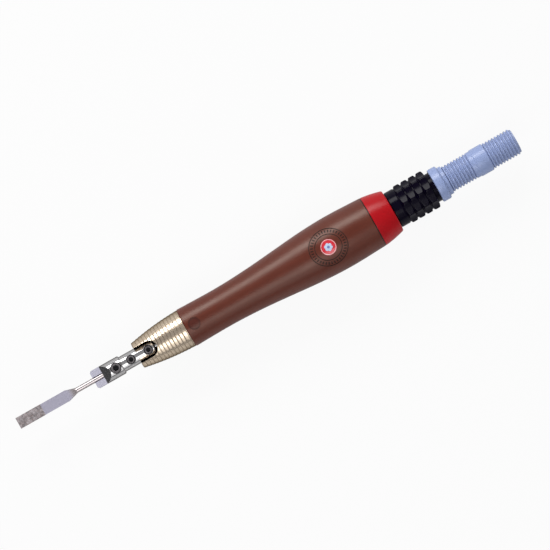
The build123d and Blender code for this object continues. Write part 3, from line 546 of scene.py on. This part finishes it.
@dataclass(frozen=True)
class GripSkin(MouldedPlastic):
    """Brown satin grip, with dirt in the engraved ring of plain ticks round its badge."""

    ring_breadth: float = 0.92
    ring_lines: tuple[Band, ...] = ((8.58, 8.95, 0.06), (5.95, 6.3, 0.06))
    ticks: int = 36
    tick_half: Span = (0.25, 0.21)
    tick_band: Band = (6.93, 8.15, 0.06)
    dirt: Rgb = (0.007, 0.0013, 0.0008)
    dirt_share: float = 0.95
    joint: Span = (CAP_SEAM - 0.5, CAP_SEAM - 0.2)
    mark_x: float = 4.3
    mark_edge: Span = (2.8, 2.7)
    # Painted shade in the small round recess: its dark rim band, the rim's strength and its darker fill.
    mark_rim: Band = (2.3, 2.75, 0.2)
    mark_rim_share: float = 0.2
    mark_colour: Rgb = (0.072, 0.0085, 0.0042)
    upper_side: Span = (0.0, 1.0)
    sheen: Rgb = (1.0, 0.94, 0.84)

    def engraved(self, graph: Graph, vector: Socket) -> Field:
        """Gives the engraved lines of the tick ring.

        Args:
            graph: The material's nodes.
            vector: The point in millimetres.

        Returns:
            1 in the lines and 0 beside them.
        """
        x, y, z = graph.split(vector)
        along = x - BADGE_X
        across = y / self.ring_breadth
        reach = graph.hypot(along, across)
        turn = graph.math("ARCTAN2", across, along) * (self.ticks / math.tau) + self.ticks
        beside = abs(graph.math("FRACT", turn) - 0.5)
        lines = graph.step(beside, *self.tick_half) * graph.band(reach, *self.tick_band)
        for line in self.ring_lines:
            lines = lines + graph.band(reach, *line)
        rubbed = graph.step(graph.noise(vector, scale=1.3, detail=3.0), 0.3, 0.6)
        return lines * (0.75 + 0.25 * rubbed) * graph.step(z, *self.upper_side)

    def paint(self, graph: Graph) -> Sockets:
        """Lays out skin, grain, dirt in the engraving, and painted shade in the small round mark.

        Args:
            graph: The material's nodes.

        Returns:
            The shader's inputs.
        """
        vector = graph.place()
        x, y, z = graph.split(vector)
        pits = graph.noise(vector, self.texture, detail=3.0, rough=0.65)
        streak = graph.noise(vector, scale=1.0, detail=3.0, grain=Grain.STREAKED)
        hand = graph.noise(vector, scale=0.09, detail=3.0)
        pale = graph.step(streak, 0.45, 0.8) * 0.35
        base = graph.mix(pale, self.tone(graph, vector), tinted(self.colour, 1.35))
        reach = graph.hypot(x - self.mark_x, y)
        mark = graph.step(reach, *self.mark_edge) * graph.step(z, *self.upper_side)
        # Painted shade: the recess is filled with a darker red.
        base = graph.mix(mark, base, self.mark_colour)
        # Painted shade: a dark ring at the recess's rim, which joins the engraving's dirt below.
        rim = mark * graph.band(reach, *self.mark_rim) * self.mark_rim_share
        engraved = graph.math("MAXIMUM", self.engraved(graph, vector), rim)
        # The dirt colour here also carries the painted shade of the mark's rim.
        dirty = graph.math("MAXIMUM", engraved * self.dirt_share, graph.step(x, *self.joint))
        return {
            "Base Color": graph.mix(dirty, base, self.dirt),
            "Roughness": self.rough + (pits - 0.5) * 0.14 + (hand - 0.5) * 0.18 + engraved * 0.3,
            "Specular IOR Level": self.shine,
            "Specular Tint": self.sheen,
            "Normal": graph.bump(pits + streak * 0.4, self.depth),
        }


@dataclass(frozen=True)
class CapGloss(MouldedPlastic):
    """Red gloss plastic with dirt where it meets the grip."""

    joint: Span = (CAP_SEAM + 0.2, CAP_SEAM + 0.06)
    dirt: Rgb = (0.03, 0.003, 0.003)

    def tone(self, graph: Graph, vector: Socket) -> Socket:
        """Gives the red with its dirty front edge."""
        dirty = graph.step(graph.split(vector)[0], *self.joint)
        return graph.mix(dirty, super().tone(graph, vector), self.dirt)


@dataclass(frozen=True)
class HosePlastic(MouldedPlastic):
    """Flexible pale plastic, greyer between its ribs from dirt and painted shade."""

    valley: Span = (HOSE_CREST - 0.1, HOSE_ROOT)
    bore: Span = (4.95, 4.85)
    bore_shade: float = 0.35
    # Colour between the ribs: dirt plus painted shade.
    dust: Rgb = (0.19, 0.21, 0.29)

    def paint(self, graph: Graph) -> Sockets:
        """Lays out the plastic, then dirt and painted shade between the ribs, and shade in the bore.

        Args:
            graph: The material's nodes.

        Returns:
            The shader's inputs.
        """
        clean = super().paint(graph)
        vector = graph.place()
        _, y, z = graph.split(vector)
        radius = graph.hypot(y, z)
        low = graph.step(radius, *self.valley)
        dusty = low * graph.step(graph.noise(vector, scale=0.25), 0.3, 0.7)
        # The low share is painted shade in every valley; the dusty share is dirt.
        colour = graph.mix(dusty * 0.12 + low * 0.24, clean["Base Color"], self.dust)
        inside = graph.step(radius, *self.bore) * 0.6
        return clean | {
            "Base Color": graph.mix(inside, colour, tinted(self.colour, self.bore_shade)),
            "Roughness": clean["Roughness"] + dusty * 0.15,
        }


@dataclass(frozen=True)
class BadgeEnamel(Finish):
    """Gloss enamel inlay: red ground, thin pale rim and a plain six-lobed rosette."""

    ground: Rgb = (0.62, 0.018, 0.035)
    pale: Rgb = (0.66, 0.62, 0.62)
    rim: Band = (3.22, 3.36, 0.07)
    rosette: Rgb = (0.50, 0.60, 0.78)
    lobes: int = 6
    lobe_reach: float = 1.15
    lobe_edge: Span = (0.78, 0.70)
    eye: Rgb = (0.16, 0.20, 0.46)
    eye_edge: Span = (0.66, 0.56)
    depth: float = 0.03

    def paint(self, graph: Graph) -> Sockets:
        """Lays out the ground, the rim and the rosette.

        Args:
            graph: The material's nodes.

        Returns:
            The shader's inputs.
        """
        vector = graph.place()
        x, y, _ = graph.split(vector)
        along = x - BADGE_X
        reach = graph.hypot(along, y)
        sector = math.tau / self.lobes
        turn = graph.math("ARCTAN2", y, along) / sector + self.lobes
        angle = (graph.math("FRACT", turn) - 0.5) * sector
        aside = reach * graph.math("SINE", angle)
        ahead = reach * graph.math("COSINE", angle) - self.lobe_reach
        lobe = graph.step(graph.hypot(aside, ahead), *self.lobe_edge)
        rim = graph.band(reach, *self.rim)
        cloud = graph.noise(vector, scale=1.2, detail=3.0)
        colour = graph.mix(lobe, graph.shades(cloud, self.ground, 0.88, 1.1), self.rosette)
        colour = graph.mix(graph.step(reach, *self.eye_edge), colour, self.eye)
        return {
            "Base Color": graph.mix(rim, colour, self.pale),
            "Roughness": 0.22 + cloud * 0.1,
            "Coat Weight": 0.5,
            "Coat Roughness": 0.08,
            "Normal": graph.bump(lobe + rim + cloud * 0.2, self.depth),
        }


@dataclass(frozen=True)
class FeltWool(Finish):
    """Pressed grey felt."""

    colour: Rgb = (0.33, 0.31, 0.28)
    rough: float = 0.95
    depth: float = 0.1

    def paint(self, graph: Graph) -> Sockets:
        """Lays out matted fibres.

        Args:
            graph: The material's nodes.

        Returns:
            The shader's inputs.
        """
        fibres = graph.noise(graph.place(), scale=7.0, detail=5.0, rough=0.7)
        return {
            "Base Color": graph.shades(fibres, self.colour, 0.6, 1.4),
            "Roughness": self.rough,
            "Normal": graph.bump(fibres, self.depth),
        }


@dataclass(frozen=True)
class FloorCard(Finish):
    """White studio card that keeps the object's shadow."""

    colour: Rgb = (0.62, 0.62, 0.62)
    rough: float = 0.9
    lift: float = 0.92
    echo: float = 0.15

    def paint(self, graph: Graph) -> Sockets:
        """Lays out a matt card."""
        card = graph.shades(graph.noise(graph.place(), scale=0.4, detail=3.0), self.colour, 0.995, 1.005)
        return {"Base Color": card, "Roughness": self.rough, "Specular IOR Level": 0.0}

    def surface(self, graph: Graph, shader: bpy.types.Node) -> Socket:
        """Gives the card, with part of its white given to the camera and to reflections.

        Args:
            graph: The material's nodes.
            shader: The matt card.

        Returns:
            The mixed shader.
        """
        rays = graph.add("LightPath").outputs
        kinds = ("Camera", "Glossy", "Transmission")
        camera, glossy, passed = (Field(graph, rays[f"Is {kind} Ray"]) for kind in kinds)
        share = camera * self.lift + graph.math("MINIMUM", glossy + passed, 1.0) * self.echo
        glow = graph.add("Emission", None, {"Color": WHITE, "Strength": 1.0})
        both = {0: share, 1: shader.outputs[0], 2: glow.outputs[0]}
        return graph.add("MixShader", None, both).outputs[0]


@dataclass
class Turning:
    """A closed section that is rounded, divided and spun about the tool's axis."""

    name: str
    corners: Sequence[Corner]
    steps: int
    divide: float = 0.0
    shape: Callable[[Vector], Vector] | None = None
    rounds: int = 4

    def build(self) -> bpy.types.Object:
        """Makes the spun piece.

        Returns:
            A mesh object at the origin, closed and smooth.
        """
        work = bmesh.new()
        points = [work.verts.new((x * MM, 0.0, radius * MM)) for x, radius, _ in self.corners]
        work.faces.new(points)
        for point, (_, _, rounding) in zip(points, self.corners):
            if rounding:
                bmesh.ops.bevel(
                    work, geom=[point], offset=rounding * MM, offset_type="OFFSET",
                    affect="VERTICES", segments=self.rounds, profile=0.5, clamp_overlap=True,
                    material=-1,
                )
        bmesh.ops.delete(work, geom=work.faces[:], context="FACES_ONLY")
        self.part_long_edges(work)
        bmesh.ops.spin(
            work, geom=work.verts[:] + work.edges[:], cent=(0, 0, 0), axis=(1, 0, 0),
            angle=math.tau, steps=self.steps, use_merge=True,
        )
        bmesh.ops.remove_doubles(work, verts=work.verts[:], dist=MERGE_DISTANCE)
        if self.shape:
            for point in work.verts:
                point.co = self.shape(point.co / MM) * MM
        bmesh.ops.recalc_face_normals(work, faces=work.faces[:])
        return finished(self.name, work)

    def part_long_edges(self, work: bmesh.types.BMesh) -> None:
        """Cuts the section's long edges so that a later shape has points to move.

        Args:
            work: The section.
        """
        if not self.divide:
            return
        for edge in work.edges[:]:
            cuts = int(edge.calc_length() / MM / self.divide)
            if cuts:
                bmesh.ops.subdivide_edges(work, edges=[edge], cuts=cuts)


def smooth(mesh: bpy.types.Mesh) -> None:
    """Shades a mesh smooth, with its sharp edges kept."""
    mesh.shade_smooth()
    mesh.set_sharp_from_angle(angle=CREASE)


def finished(name: str, work: bmesh.types.BMesh) -> bpy.types.Object:
    """Turns a bmesh into a smooth-shaded object at the origin.

    Args:
        name: The new object's name.
        work: The bmesh, which is freed.

    Returns:
        The new object.
    """
    mesh = bpy.data.meshes.new(name)
    work.to_mesh(mesh)
    work.free()
    smooth(mesh)
    piece = bpy.data.objects.new(name, mesh)
    bpy.context.scene.collection.objects.link(piece)
    return piece


def cut(piece: bpy.types.Object, tool: bpy.types.Object) -> None:
    """Cuts a tool's shape out of a piece.

    Args:
        piece: The piece, which gets a new mesh.
        tool: The cutter, which is removed.
    """
    change = piece.modifiers.new("cut", "BOOLEAN")
    change.operation = "DIFFERENCE"
    change.solver = "EXACT"
    change.object = tool
    depsgraph = bpy.context.evaluated_depsgraph_get()
    mesh = bpy.data.meshes.new_from_object(piece.evaluated_get(depsgraph))
    piece.modifiers.clear()
    piece.data = mesh
    smooth(mesh)
    bpy.data.objects.remove(tool)


def dress(node: str, material: bpy.types.Material) -> None:
    """Gives a CAD node a finer material in each of its slots.

    Args:
        node: The node's name.
        material: Its finish.
    """
    piece = frame["nodes"][node]
    if not piece.material_slots:
        piece.data.materials.append(material)
    for place in piece.material_slots:
        place.material = material
    LOG.info("%s: %s", node, material.name)


def stand_in(
    piece: bpy.types.Object, node: str, body: str, material: bpy.types.Material
) -> None:
    """Puts a finer piece in a CAD node's place.

    Args:
        piece: The finer piece.
        node: The CAD node that it stands for.
        body: The body that it rides on.
        material: The piece's finish.
    """
    piece.data.materials.clear()
    piece.data.materials.append(material)
    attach(piece, body)
    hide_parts(node)
    LOG.info("%s stands for %s: %d faces", piece.name, node, len(piece.data.polygons))


@dataclass
class FileAndHolder:
    """The gritted file, its holder and their screws."""

    file_finish: FileSteel = FileSteel("plated file with grit", (0.395, 0.382, 0.467), rough=0.42)
    holder_finish: HolderSteel = HolderSteel(
        "polished holder steel", (0.56, 0.55, 0.55), rough=0.10, pitch=0.35, depth=0.0016
    )
    screw_finish: BlackOxide = BlackOxide("black oxide screws", (0.016, 0.016, 0.018), rough=0.28)

    def dress(self) -> None:
        """Dresses the CAD nodes, whose shapes are right."""
        dress("file", self.file_finish.material())
        dress("file_holder", self.holder_finish.material())
        screws = self.screw_finish.material()
        dress("file_clamp_screw", screws)
        dress("plunger_clamp_screws", screws)


@dataclass
class Nose:
    """The ringed nose cone with its key slot."""

    front: float = -24.6
    front_radius: float = 6.1
    front_round: float = 0.3
    rear_radius: float = 8.9
    rear_round: float = 0.15
    swell: float = 0.6
    grooves: int = 13
    groove_half: float = 0.345
    groove_depth: float = 0.13
    groove_round: float = 0.12
    crest_round: float = 0.16
    mouth_radius: float = 4.1
    slot_half: float = 3.75
    slot_end: float = -18.4
    slot_reach: float = 9.0
    slot_height: float = 12.0
    slot_sides: int = 96
    steps: int = 192
    inside: tuple[Corner, ...] = (
        (0.0, 6.4, 0.0), (9.0, 6.4, 0.2), (9.0, 5.3, 0.0), (5.0, 5.3, 0.0), (5.0, 4.02, 0.0),
        (-9.8, 4.02, 0.0), (-9.8, 2.1, 0.0), (-11.0, 2.1, 0.0), (-11.0, 3.52, 0.0),
        (-13.0, 3.52, 0.0), (-13.0, 2.1, 0.0), (-14.2, 2.1, 0.0), (-14.2, 4.1, 0.0),
    )
    finish: NoseNickel = NoseNickel("warm nickel nose", (0.645, 0.533, 0.410), rough=0.20)

    def radius(self, x: float) -> float:
        """Gives the radius of the rings' crests.

        Args:
            x: A place along the cone.

        Returns:
            The radius there.
        """
        share = (x - self.front) / -self.front
        taper = self.front_radius + (self.rear_radius - self.front_radius) * share
        return taper + 4 * self.swell * share * (1 - share)

    def section(self) -> list[Corner]:
        """Draws the section, from the mouth along the rings and back through the bore.

        Returns:
            Its corners.
        """
        corners: list[Corner] = [
            (self.front, self.mouth_radius, 0.0),
            (self.front, self.front_radius, self.front_round),
        ]
        for number in reversed(range(self.grooves)):
            middle = GROOVE_FIRST - number * GROOVE_PITCH
            before, after = middle - self.groove_half, middle + self.groove_half
            corners += [
                (before, self.radius(before), self.crest_round),
                (middle, self.radius(middle) - self.groove_depth, self.groove_round),
                (after, self.radius(after), self.crest_round),
            ]
        return [*corners, (0.0, self.rear_radius, self.rear_round), *self.inside]

    def key_slot(self) -> bpy.types.Object:
        """Makes the cutter of the slot, a long upright prism with one round end.

        Returns:
            The cutter.
        """
        work = bmesh.new()
        place = Matrix.Translation((self.slot_end * MM, 0, 0))
        radius = self.slot_half * MM
        bmesh.ops.create_circle(
            work, cap_ends=True, segments=self.slot_sides, radius=radius, matrix=place
        )
        front = [point for point in work.verts if point.co.x < (self.slot_end - HAIR) * MM]
        bmesh.ops.translate(work, verts=front, vec=(-self.slot_reach * MM, 0, 0))
        lifted = bmesh.ops.extrude_face_region(work, geom=work.faces[:])["geom"]
        raised = [item for item in lifted if isinstance(item, bmesh.types.BMVert)]
        bmesh.ops.translate(work, verts=raised, vec=(0, 0, self.slot_height * MM))
        bmesh.ops.recalc_face_normals(work, faces=work.faces[:])
        return finished("key_slot_cutter", work)

    def build(self) -> None:
        """Turns the cone, cuts its slot and dresses it."""
        cone = Turning("nose_cone_rings", self.section(), self.steps).build()
        cut(cone, self.key_slot())
        stand_in(cone, "nose_cone", "handpiece", self.finish.material())


@dataclass
class Grip:
    """The brown grip with its badge, and the red cap behind it."""

    skin: GripSkin = GripSkin(
        "brown satin grip", (0.097, 0.0155, 0.0068),
        rough=0.35, texture=5.0, depth=0.010, mottle=0.10, shine=0.44,
    )
    enamel: BadgeEnamel = BadgeEnamel("badge enamel")
    gloss: CapGloss = CapGloss(
        "gloss red cap", (0.39, 0.0012, 0.0055),
        rough=0.31, texture=1.2, depth=0.004, mottle=0.08, shine=0.235,
    )

    def dress(self) -> None:
        """Dresses the CAD nodes, whose shapes are right."""
        dress("grip", self.skin.material())
        dress("badge_disc", self.enamel.material())
        dress("rear_cap", self.gloss.material())


@dataclass
class Throttle:
    """The fluted throttle ring and the neck behind it."""

    front: float = 104.6
    front_round: float = 0.35
    rear: float = 124.0
    band_radius: float = 8.5
    band_rear: float = 108.8
    band_round: float = 0.3
    band_slope: float = 0.3
    band_foot_round: float = 0.1
    valley: float = 8.15
    valley_round: float = 0.14
    crest: float = 9.2
    crest_round: float = 0.42
    rows: int = 4
    first_row: float = 109.79
    row_length: float = 2.4
    row_pitch: float = 3.77
    flank: float = 0.5
    flutes: int = 9
    flute_front: float = 109.15
    flute_turn: float = 22.0
    flute_floor: float = 8.43
    flute_radius: float = 14.13
    soft: float = 0.16
    bore: float = 7.15
    lip: float = 5.63
    lip_front: float = 122.5
    steps: int = 288
    divide: float = 0.22
    finish: MouldedPlastic = MouldedPlastic(
        "satin black throttle", (0.0014, 0.0003, 0.0062),
        rough=0.18, texture=3.0, depth=0.006, mottle=0.2, shine=0.105,
    )

    def section(self) -> list[Corner]:
        """Draws the section of band, rows and bore.

        Returns:
            Its corners.
        """
        corners: list[Corner] = [
            (self.front, self.bore, 0.0),
            (self.front, self.band_radius, self.front_round),
            (self.band_rear, self.band_radius, self.band_round),
            (self.band_rear + self.band_slope, self.valley, self.band_foot_round),
        ]
        for number in range(self.rows):
            start = self.first_row + number * self.row_pitch
            end = start + self.row_length
            corners += [
                (start - self.flank, self.valley, self.valley_round),
                (start, self.crest, self.crest_round),
                (end, self.crest, self.crest_round),
                (end + self.flank, self.valley, self.valley_round),
            ]
        lip_rear, lip_front = (self.rear, self.lip, 0.0), (self.lip_front, self.lip, 0.0)
        return [*corners, lip_rear, lip_front, (self.lip_front, self.bore, 0.0)]

    def fluted(self, point: Vector) -> Vector:
        """Draws a point of the rows in to its flute's floor.

        Args:
            point: A point of the spun ring, in millimetres.

        Returns:
            The point's new place.
        """
        radius = math.hypot(point.y, point.z)
        if point.x < self.flute_front or radius < self.valley + HAIR:
            return point
        sector = math.tau / self.flutes
        turn = math.atan2(point.y, point.z) - math.radians(self.flute_turn)
        off = (turn + sector / 2) % sector - sector / 2
        away = self.flute_floor + self.flute_radius
        sag = math.sqrt(self.flute_radius**2 - (away * math.sin(off)) ** 2)
        floor = away * math.cos(off) - sag
        blend = min(1.0, max(0.0, 0.5 + 0.5 * (floor - radius) / self.soft))
        lower = floor + (radius - floor) * blend - self.soft * blend * (1 - blend)
        lower = max(lower, min(radius, self.valley))
        return Vector((point.x, point.y * lower / radius, point.z * lower / radius))

    def build(self) -> None:
        """Makes the ring and dresses the neck."""
        plastic = self.finish.material()
        ring = Turning(
            "throttle_ring_fluted", self.section(), self.steps, self.divide, self.fluted
        ).build()
        stand_in(ring, "throttle_ring", "throttle", plastic)
        dress("hose_adapter", plastic)


@dataclass
class HoseEnd:
    """The pale cuff and the ribbed exhaust hose."""

    start: float = 129.0
    end: float = 166.75
    end_round: float = 0.15
    bore: float = 4.8
    pitch: float = 1.5
    crest_length: float = 0.5
    crest_round: float = 0.24
    root_round: float = 0.1
    flank: float = 0.35
    runs: tuple[tuple[float, int], ...] = ((129.0, 10), (152.65, 9))
    step_radius: float = 6.15
    step_slope: float = 0.2
    step_round: float = 0.2
    band: Band = (146.3, 152.65, 6.45)
    band_slope: float = 0.15
    band_round: float = 0.25
    steps: int = 144
    cuff: tuple[Corner, ...] = (
        (126.0, 6.32, 0.0), (126.0, 7.9, 0.5), (130.1, 7.9, 0.6), (130.3, 6.7, 0.2),
        (132.0, 6.7, 0.25), (132.0, 6.25, 0.0), (128.8, 6.25, 0.0), (128.8, 6.32, 0.0),
    )
    finish: HosePlastic = HosePlastic(
        "pale hose plastic", (0.262, 0.330, 0.555),
        rough=0.30, texture=2.0, depth=0.008, mottle=0.07, shine=0.46,
    )

    def ribs(self, start: float, count: int) -> list[Corner]:
        """Draws one run of ribs.

        Args:
            start: Where the run begins.
            count: How many ribs it has.

        Returns:
            Its corners.
        """
        corners: list[Corner] = []
        for number in range(count):
            top = start + number * self.pitch + (self.pitch - self.crest_length) / 2
            fall = top + self.crest_length
            corners += [
                (top - self.flank, HOSE_ROOT, self.root_round),
                (top, HOSE_CREST, self.crest_round),
                (fall, HOSE_CREST, self.crest_round),
                (fall + self.flank, HOSE_ROOT, self.root_round),
            ]
        return corners

    def section(self) -> list[Corner]:
        """Draws the section of the hose, with its smooth band between two runs of ribs.

        Returns:
            Its corners.
        """
        front_run, rear_run = self.runs
        band_start, band_end, band_radius = self.band
        foot = front_run[0] + front_run[1] * self.pitch
        return [
            (self.start, self.bore, 0.0),
            (self.start, HOSE_ROOT, 0.0),
            *self.ribs(*front_run),
            (foot, HOSE_ROOT, self.root_round),
            (foot + self.step_slope, self.step_radius, self.step_round),
            (band_start, self.step_radius, self.root_round),
            (band_start + self.band_slope, band_radius, self.band_round),
            (band_end - self.band_slope, band_radius, self.band_round),
            (band_end, HOSE_ROOT, self.root_round),
            *self.ribs(*rear_run),
            (self.end, HOSE_ROOT, self.end_round),
            (self.end, self.bore, self.end_round),
        ]

    def build(self) -> None:
        """Makes the hose and the cuff."""
        plastic = self.finish.material()
        hose = Turning("exhaust_hose_ribs", self.section(), self.steps).build()
        stand_in(hose, "exhaust_hose", "handpiece", plastic)
        cuff = Turning("hose_cuff_round", self.cuff, self.steps).build()
        stand_in(cuff, "hose_cuff", "handpiece", plastic)


@dataclass
class ReturnSpring:
    """The coil spring round the plunger, with closed and ground ends."""

    seat: float = 5.0
    length: float = 26.0
    wire_radius: float = 0.45
    coil_radius: float = 4.5
    ground: float = 0.3
    closed_rise: float = 0.95
    open_turns: int = 6
    steps: int = 48
    sides: int = 14
    stroke: float = 0.7
    finish: MachinedMetal = MachinedMetal(
        "coiled spring wire", (0.42, 0.42, 0.44), rough=0.30, grain=Grain.DRAWN, pitch=0.1
    )

    @staticmethod
    def close(work: bmesh.types.BMesh) -> None:
        """Fills the open ends."""
        open_edges = [edge for edge in work.edges if edge.is_boundary]
        bmesh.ops.holes_fill(work, edges=open_edges, sides=0)

    def wind(self) -> bmesh.types.BMesh:
        """Winds the wire round the axis.

        Returns:
            The coil with round ends.
        """
        work = bmesh.new()
        middle = self.wire_radius - self.ground
        place = Matrix.Translation(((self.seat + middle) * MM, 0.0, self.coil_radius * MM))
        place = place @ Matrix.Rotation(math.pi / 2, 4, "X")
        bmesh.ops.create_circle(
            work, cap_ends=True, segments=self.sides, radius=self.wire_radius * MM, matrix=place
        )
        geom = work.verts[:] + work.edges[:]
        open_rise = (self.length - 2 * middle - 2 * self.closed_rise) / self.open_turns
        closed = (1, self.closed_rise)
        for turns, rise in (closed, (self.open_turns, open_rise), closed):
            geom = bmesh.ops.spin(
                work, geom=geom, cent=(0, 0, 0), axis=(1, 0, 0),
                dvec=(rise / self.steps * MM, 0, 0), angle=turns * math.tau,
                steps=turns * self.steps,
            )["geom_last"]
        self.close(work)
        return work

    def build(self) -> None:
        """Makes the spring between its seat and the plunger's flange."""
        work = self.wind()
        for x, before in ((self.seat, True), (self.seat + self.length, False)):
            bmesh.ops.bisect_plane(
                work, geom=work.verts[:] + work.edges[:] + work.faces[:],
                plane_co=(x * MM, 0, 0), plane_no=(1, 0, 0),
                clear_inner=before, clear_outer=not before,
            )
            self.close(work)
        bmesh.ops.recalc_face_normals(work, faces=work.faces[:])
        coil = finished("return_spring_coil", work)
        stand_in(coil, "return_spring", "handpiece", self.finish.material())
        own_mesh(coil)


@dataclass
class Works:
    """The turbine, cam, bearings, valve and seals inside, with a finish for each material slot."""

    dressed: ClassVar[tuple[str, ...]] = ("file_holder", "return_spring")
    polished_steel: Finish = MachinedMetal(
        "polished bearing steel", (0.66, 0.66, 0.68), rough=0.14, pitch=0.1
    )
    aluminium: Finish = MachinedMetal(
        "machined aluminium", (0.74, 0.74, 0.76), rough=0.30, pitch=0.16, depth=0.008
    )
    bronze: Finish = GapShadedBronze(
        "machined bronze", (0.62, 0.45, 0.22), rough=0.26, pitch=0.14, depth=0.006
    )
    spring_steel: Finish = MachinedMetal(
        "drawn spring wire", (0.42, 0.42, 0.44), rough=0.30, grain=Grain.DRAWN, pitch=0.1
    )
    cage_plastic: Finish = MouldedPlastic(
        "bearing cage plastic", (0.70, 0.66, 0.57), rough=0.5, texture=3.0
    )
    seal_rubber: Finish = MouldedPlastic(
        "seal rubber", (0.018, 0.018, 0.018), rough=0.62, texture=5.0, depth=0.015
    )
    felt: Finish = FeltWool("wiper felt")

    def dress(self) -> None:
        """Dresses the inner CAD nodes, apart from those that have a finish of their own."""
        made = {slot: finish.material() for slot, finish in vars(self).items()}
        for part in frame["record"]["subparts"]:
            node, slot = part["node"], part["material_slot"]
            if slot in made and node not in self.dressed:
                dress(node, made[slot])


@dataclass(frozen=True)
class Softbox:
    """A long soft lamp beside the tool, with its lean in degrees and its lengths in metres."""

    name: str
    lean: float
    distance: float
    along: float
    length: float
    width: float
    radiance: float

    def build(self) -> None:
        """Hangs the lamp parallel to the tool, facing its middle."""
        lamp = bpy.data.lights.new(self.name, "AREA")
        lamp.shape = "RECTANGLE"
        lamp.size, lamp.size_y = self.length, self.width
        lamp.energy = self.radiance * math.pi * self.length * self.width
        stand = bpy.data.objects.new(self.name, lamp)
        lean = math.radians(self.lean)
        aside, above = self.distance * math.sin(lean), self.distance * math.cos(lean)
        stand.location = (self.along, aside, above)
        stand.rotation_euler = (-lean, 0.0, 0.0)
        stand.visible_camera = False
        bpy.context.scene.collection.objects.link(stand)


@dataclass
class Studio:
    """Floor, lamps, sky and camera.

    Angles are in degrees and lengths in metres, apart from the sensor's, in millimetres.
    """

    floor_height: float = -0.0126
    floor_size: float = 30.0
    horizon_level: Span = (2.0, 6.0)
    dusk: Rgb = (0.30, 0.30, 0.31)
    zenith: Rgb = (0.41, 0.41, 0.42)
    zenith_aside: Band = (-10.0, 24.0, 5.0)
    zenith_astern: Band = (-45.0, 45.0, 8.0)
    gloom: Rgb = (0.07, 0.07, 0.075)
    gloom_bearing: Band = (-38.0, 38.0, 8.0)
    gloom_level: Band = (4.0, 48.0, 3.0)
    softboxes: tuple[Softbox, ...] = (
        Softbox("strip_left", 57.0, 1.0, 0.075, length=1.15, width=0.42, radiance=6.2),
        Softbox("fill_left", 62.0, 1.05, 0.0, length=1.2, width=0.80, radiance=0.30),
        Softbox("strip_right", -27.0, 1.1, -0.515, length=1.33, width=0.47, radiance=2.05),
        Softbox("fill_right", -40.0, 1.15, -0.62, length=1.5, width=1.10, radiance=0.97),
    )
    view_height: float = 1.6
    view_width: float = 0.242
    view_centre: Span = (0.0455, 0.000955)
    view_turn: float = -29.64
    view_end: float = 100.0
    sensor: float = 36.0

    def floor(self) -> None:
        """Lays the card under the tool."""
        work = bmesh.new()
        place = Matrix.Translation((0, 0, self.floor_height))
        half = self.floor_size / 2
        bmesh.ops.create_grid(work, x_segments=1, y_segments=1, size=half, matrix=place)
        card = finished("studio_floor", work)
        card.data.materials.append(FloorCard("white card").material())

    def sky(self) -> None:
        """Makes the surroundings white at the horizon, dim above and darkest ahead of the file."""
        world = bpy.data.worlds.new("studio")
        world.use_nodes = True
        bpy.context.scene.world = world
        graph = Graph(world.node_tree)
        x, y, z = graph.split(graph.add("TexCoord").outputs["Generated"])
        aside = graph.math("ARCTAN2", y, z) * DEGREES
        astern = graph.math("ARCTAN2", x, z) * DEGREES
        level = graph.math("ARCSINE", z) * DEGREES
        bearing = graph.math("ARCTAN2", y, 0.0 - x) * DEGREES
        overhead = graph.band(aside, *self.zenith_aside) * graph.band(astern, *self.zenith_astern)
        ahead = graph.band(bearing, *self.gloom_bearing) * graph.band(level, *self.gloom_level)
        colour = graph.mix(graph.step(level, *self.horizon_level), WHITE, self.dusk)
        colour = graph.mix(overhead, colour, self.zenith)
        colour = graph.mix(ahead, colour, self.gloom)
        sky = graph.add("Background", None, {"Color": colour, "Strength": 1.0})
        graph.add("OutputWorld", None, {"Surface": sky.outputs[0]})

    def camera(self) -> None:
        """Points the camera straight down on the tool, turned as in the photograph."""
        lens = bpy.data.cameras.new("camera")
        lens.sensor_width = self.sensor
        lens.lens = self.sensor * self.view_height / self.view_width
        lens.clip_end = self.view_end
        eye = bpy.data.objects.new("camera", lens)
        eye.location = (*self.view_centre, self.view_height)
        eye.rotation_euler = (0.0, 0.0, math.radians(self.view_turn))
        bpy.context.scene.collection.objects.link(eye)
        bpy.context.scene.camera = eye

    def build(self) -> None:
        """Sets up the whole studio, with a bright strip and a wide fill on each side."""
        self.floor()
        self.sky()
        for softbox in self.softboxes:
            softbox.build()
        self.camera()
        bpy.context.scene.view_settings.view_transform = "Standard"


def main() -> None:
    """Builds the sub-assemblies in order, then the studio."""
    logging.basicConfig(level=logging.INFO, format="%(name)s %(message)s")
    FileAndHolder().dress()
    Nose().build()
    Grip().dress()
    Throttle().build()
    HoseEnd().build()
    ReturnSpring().build()
    Works().dress()
    Studio().build()


if __name__ == "__main__":
    main()
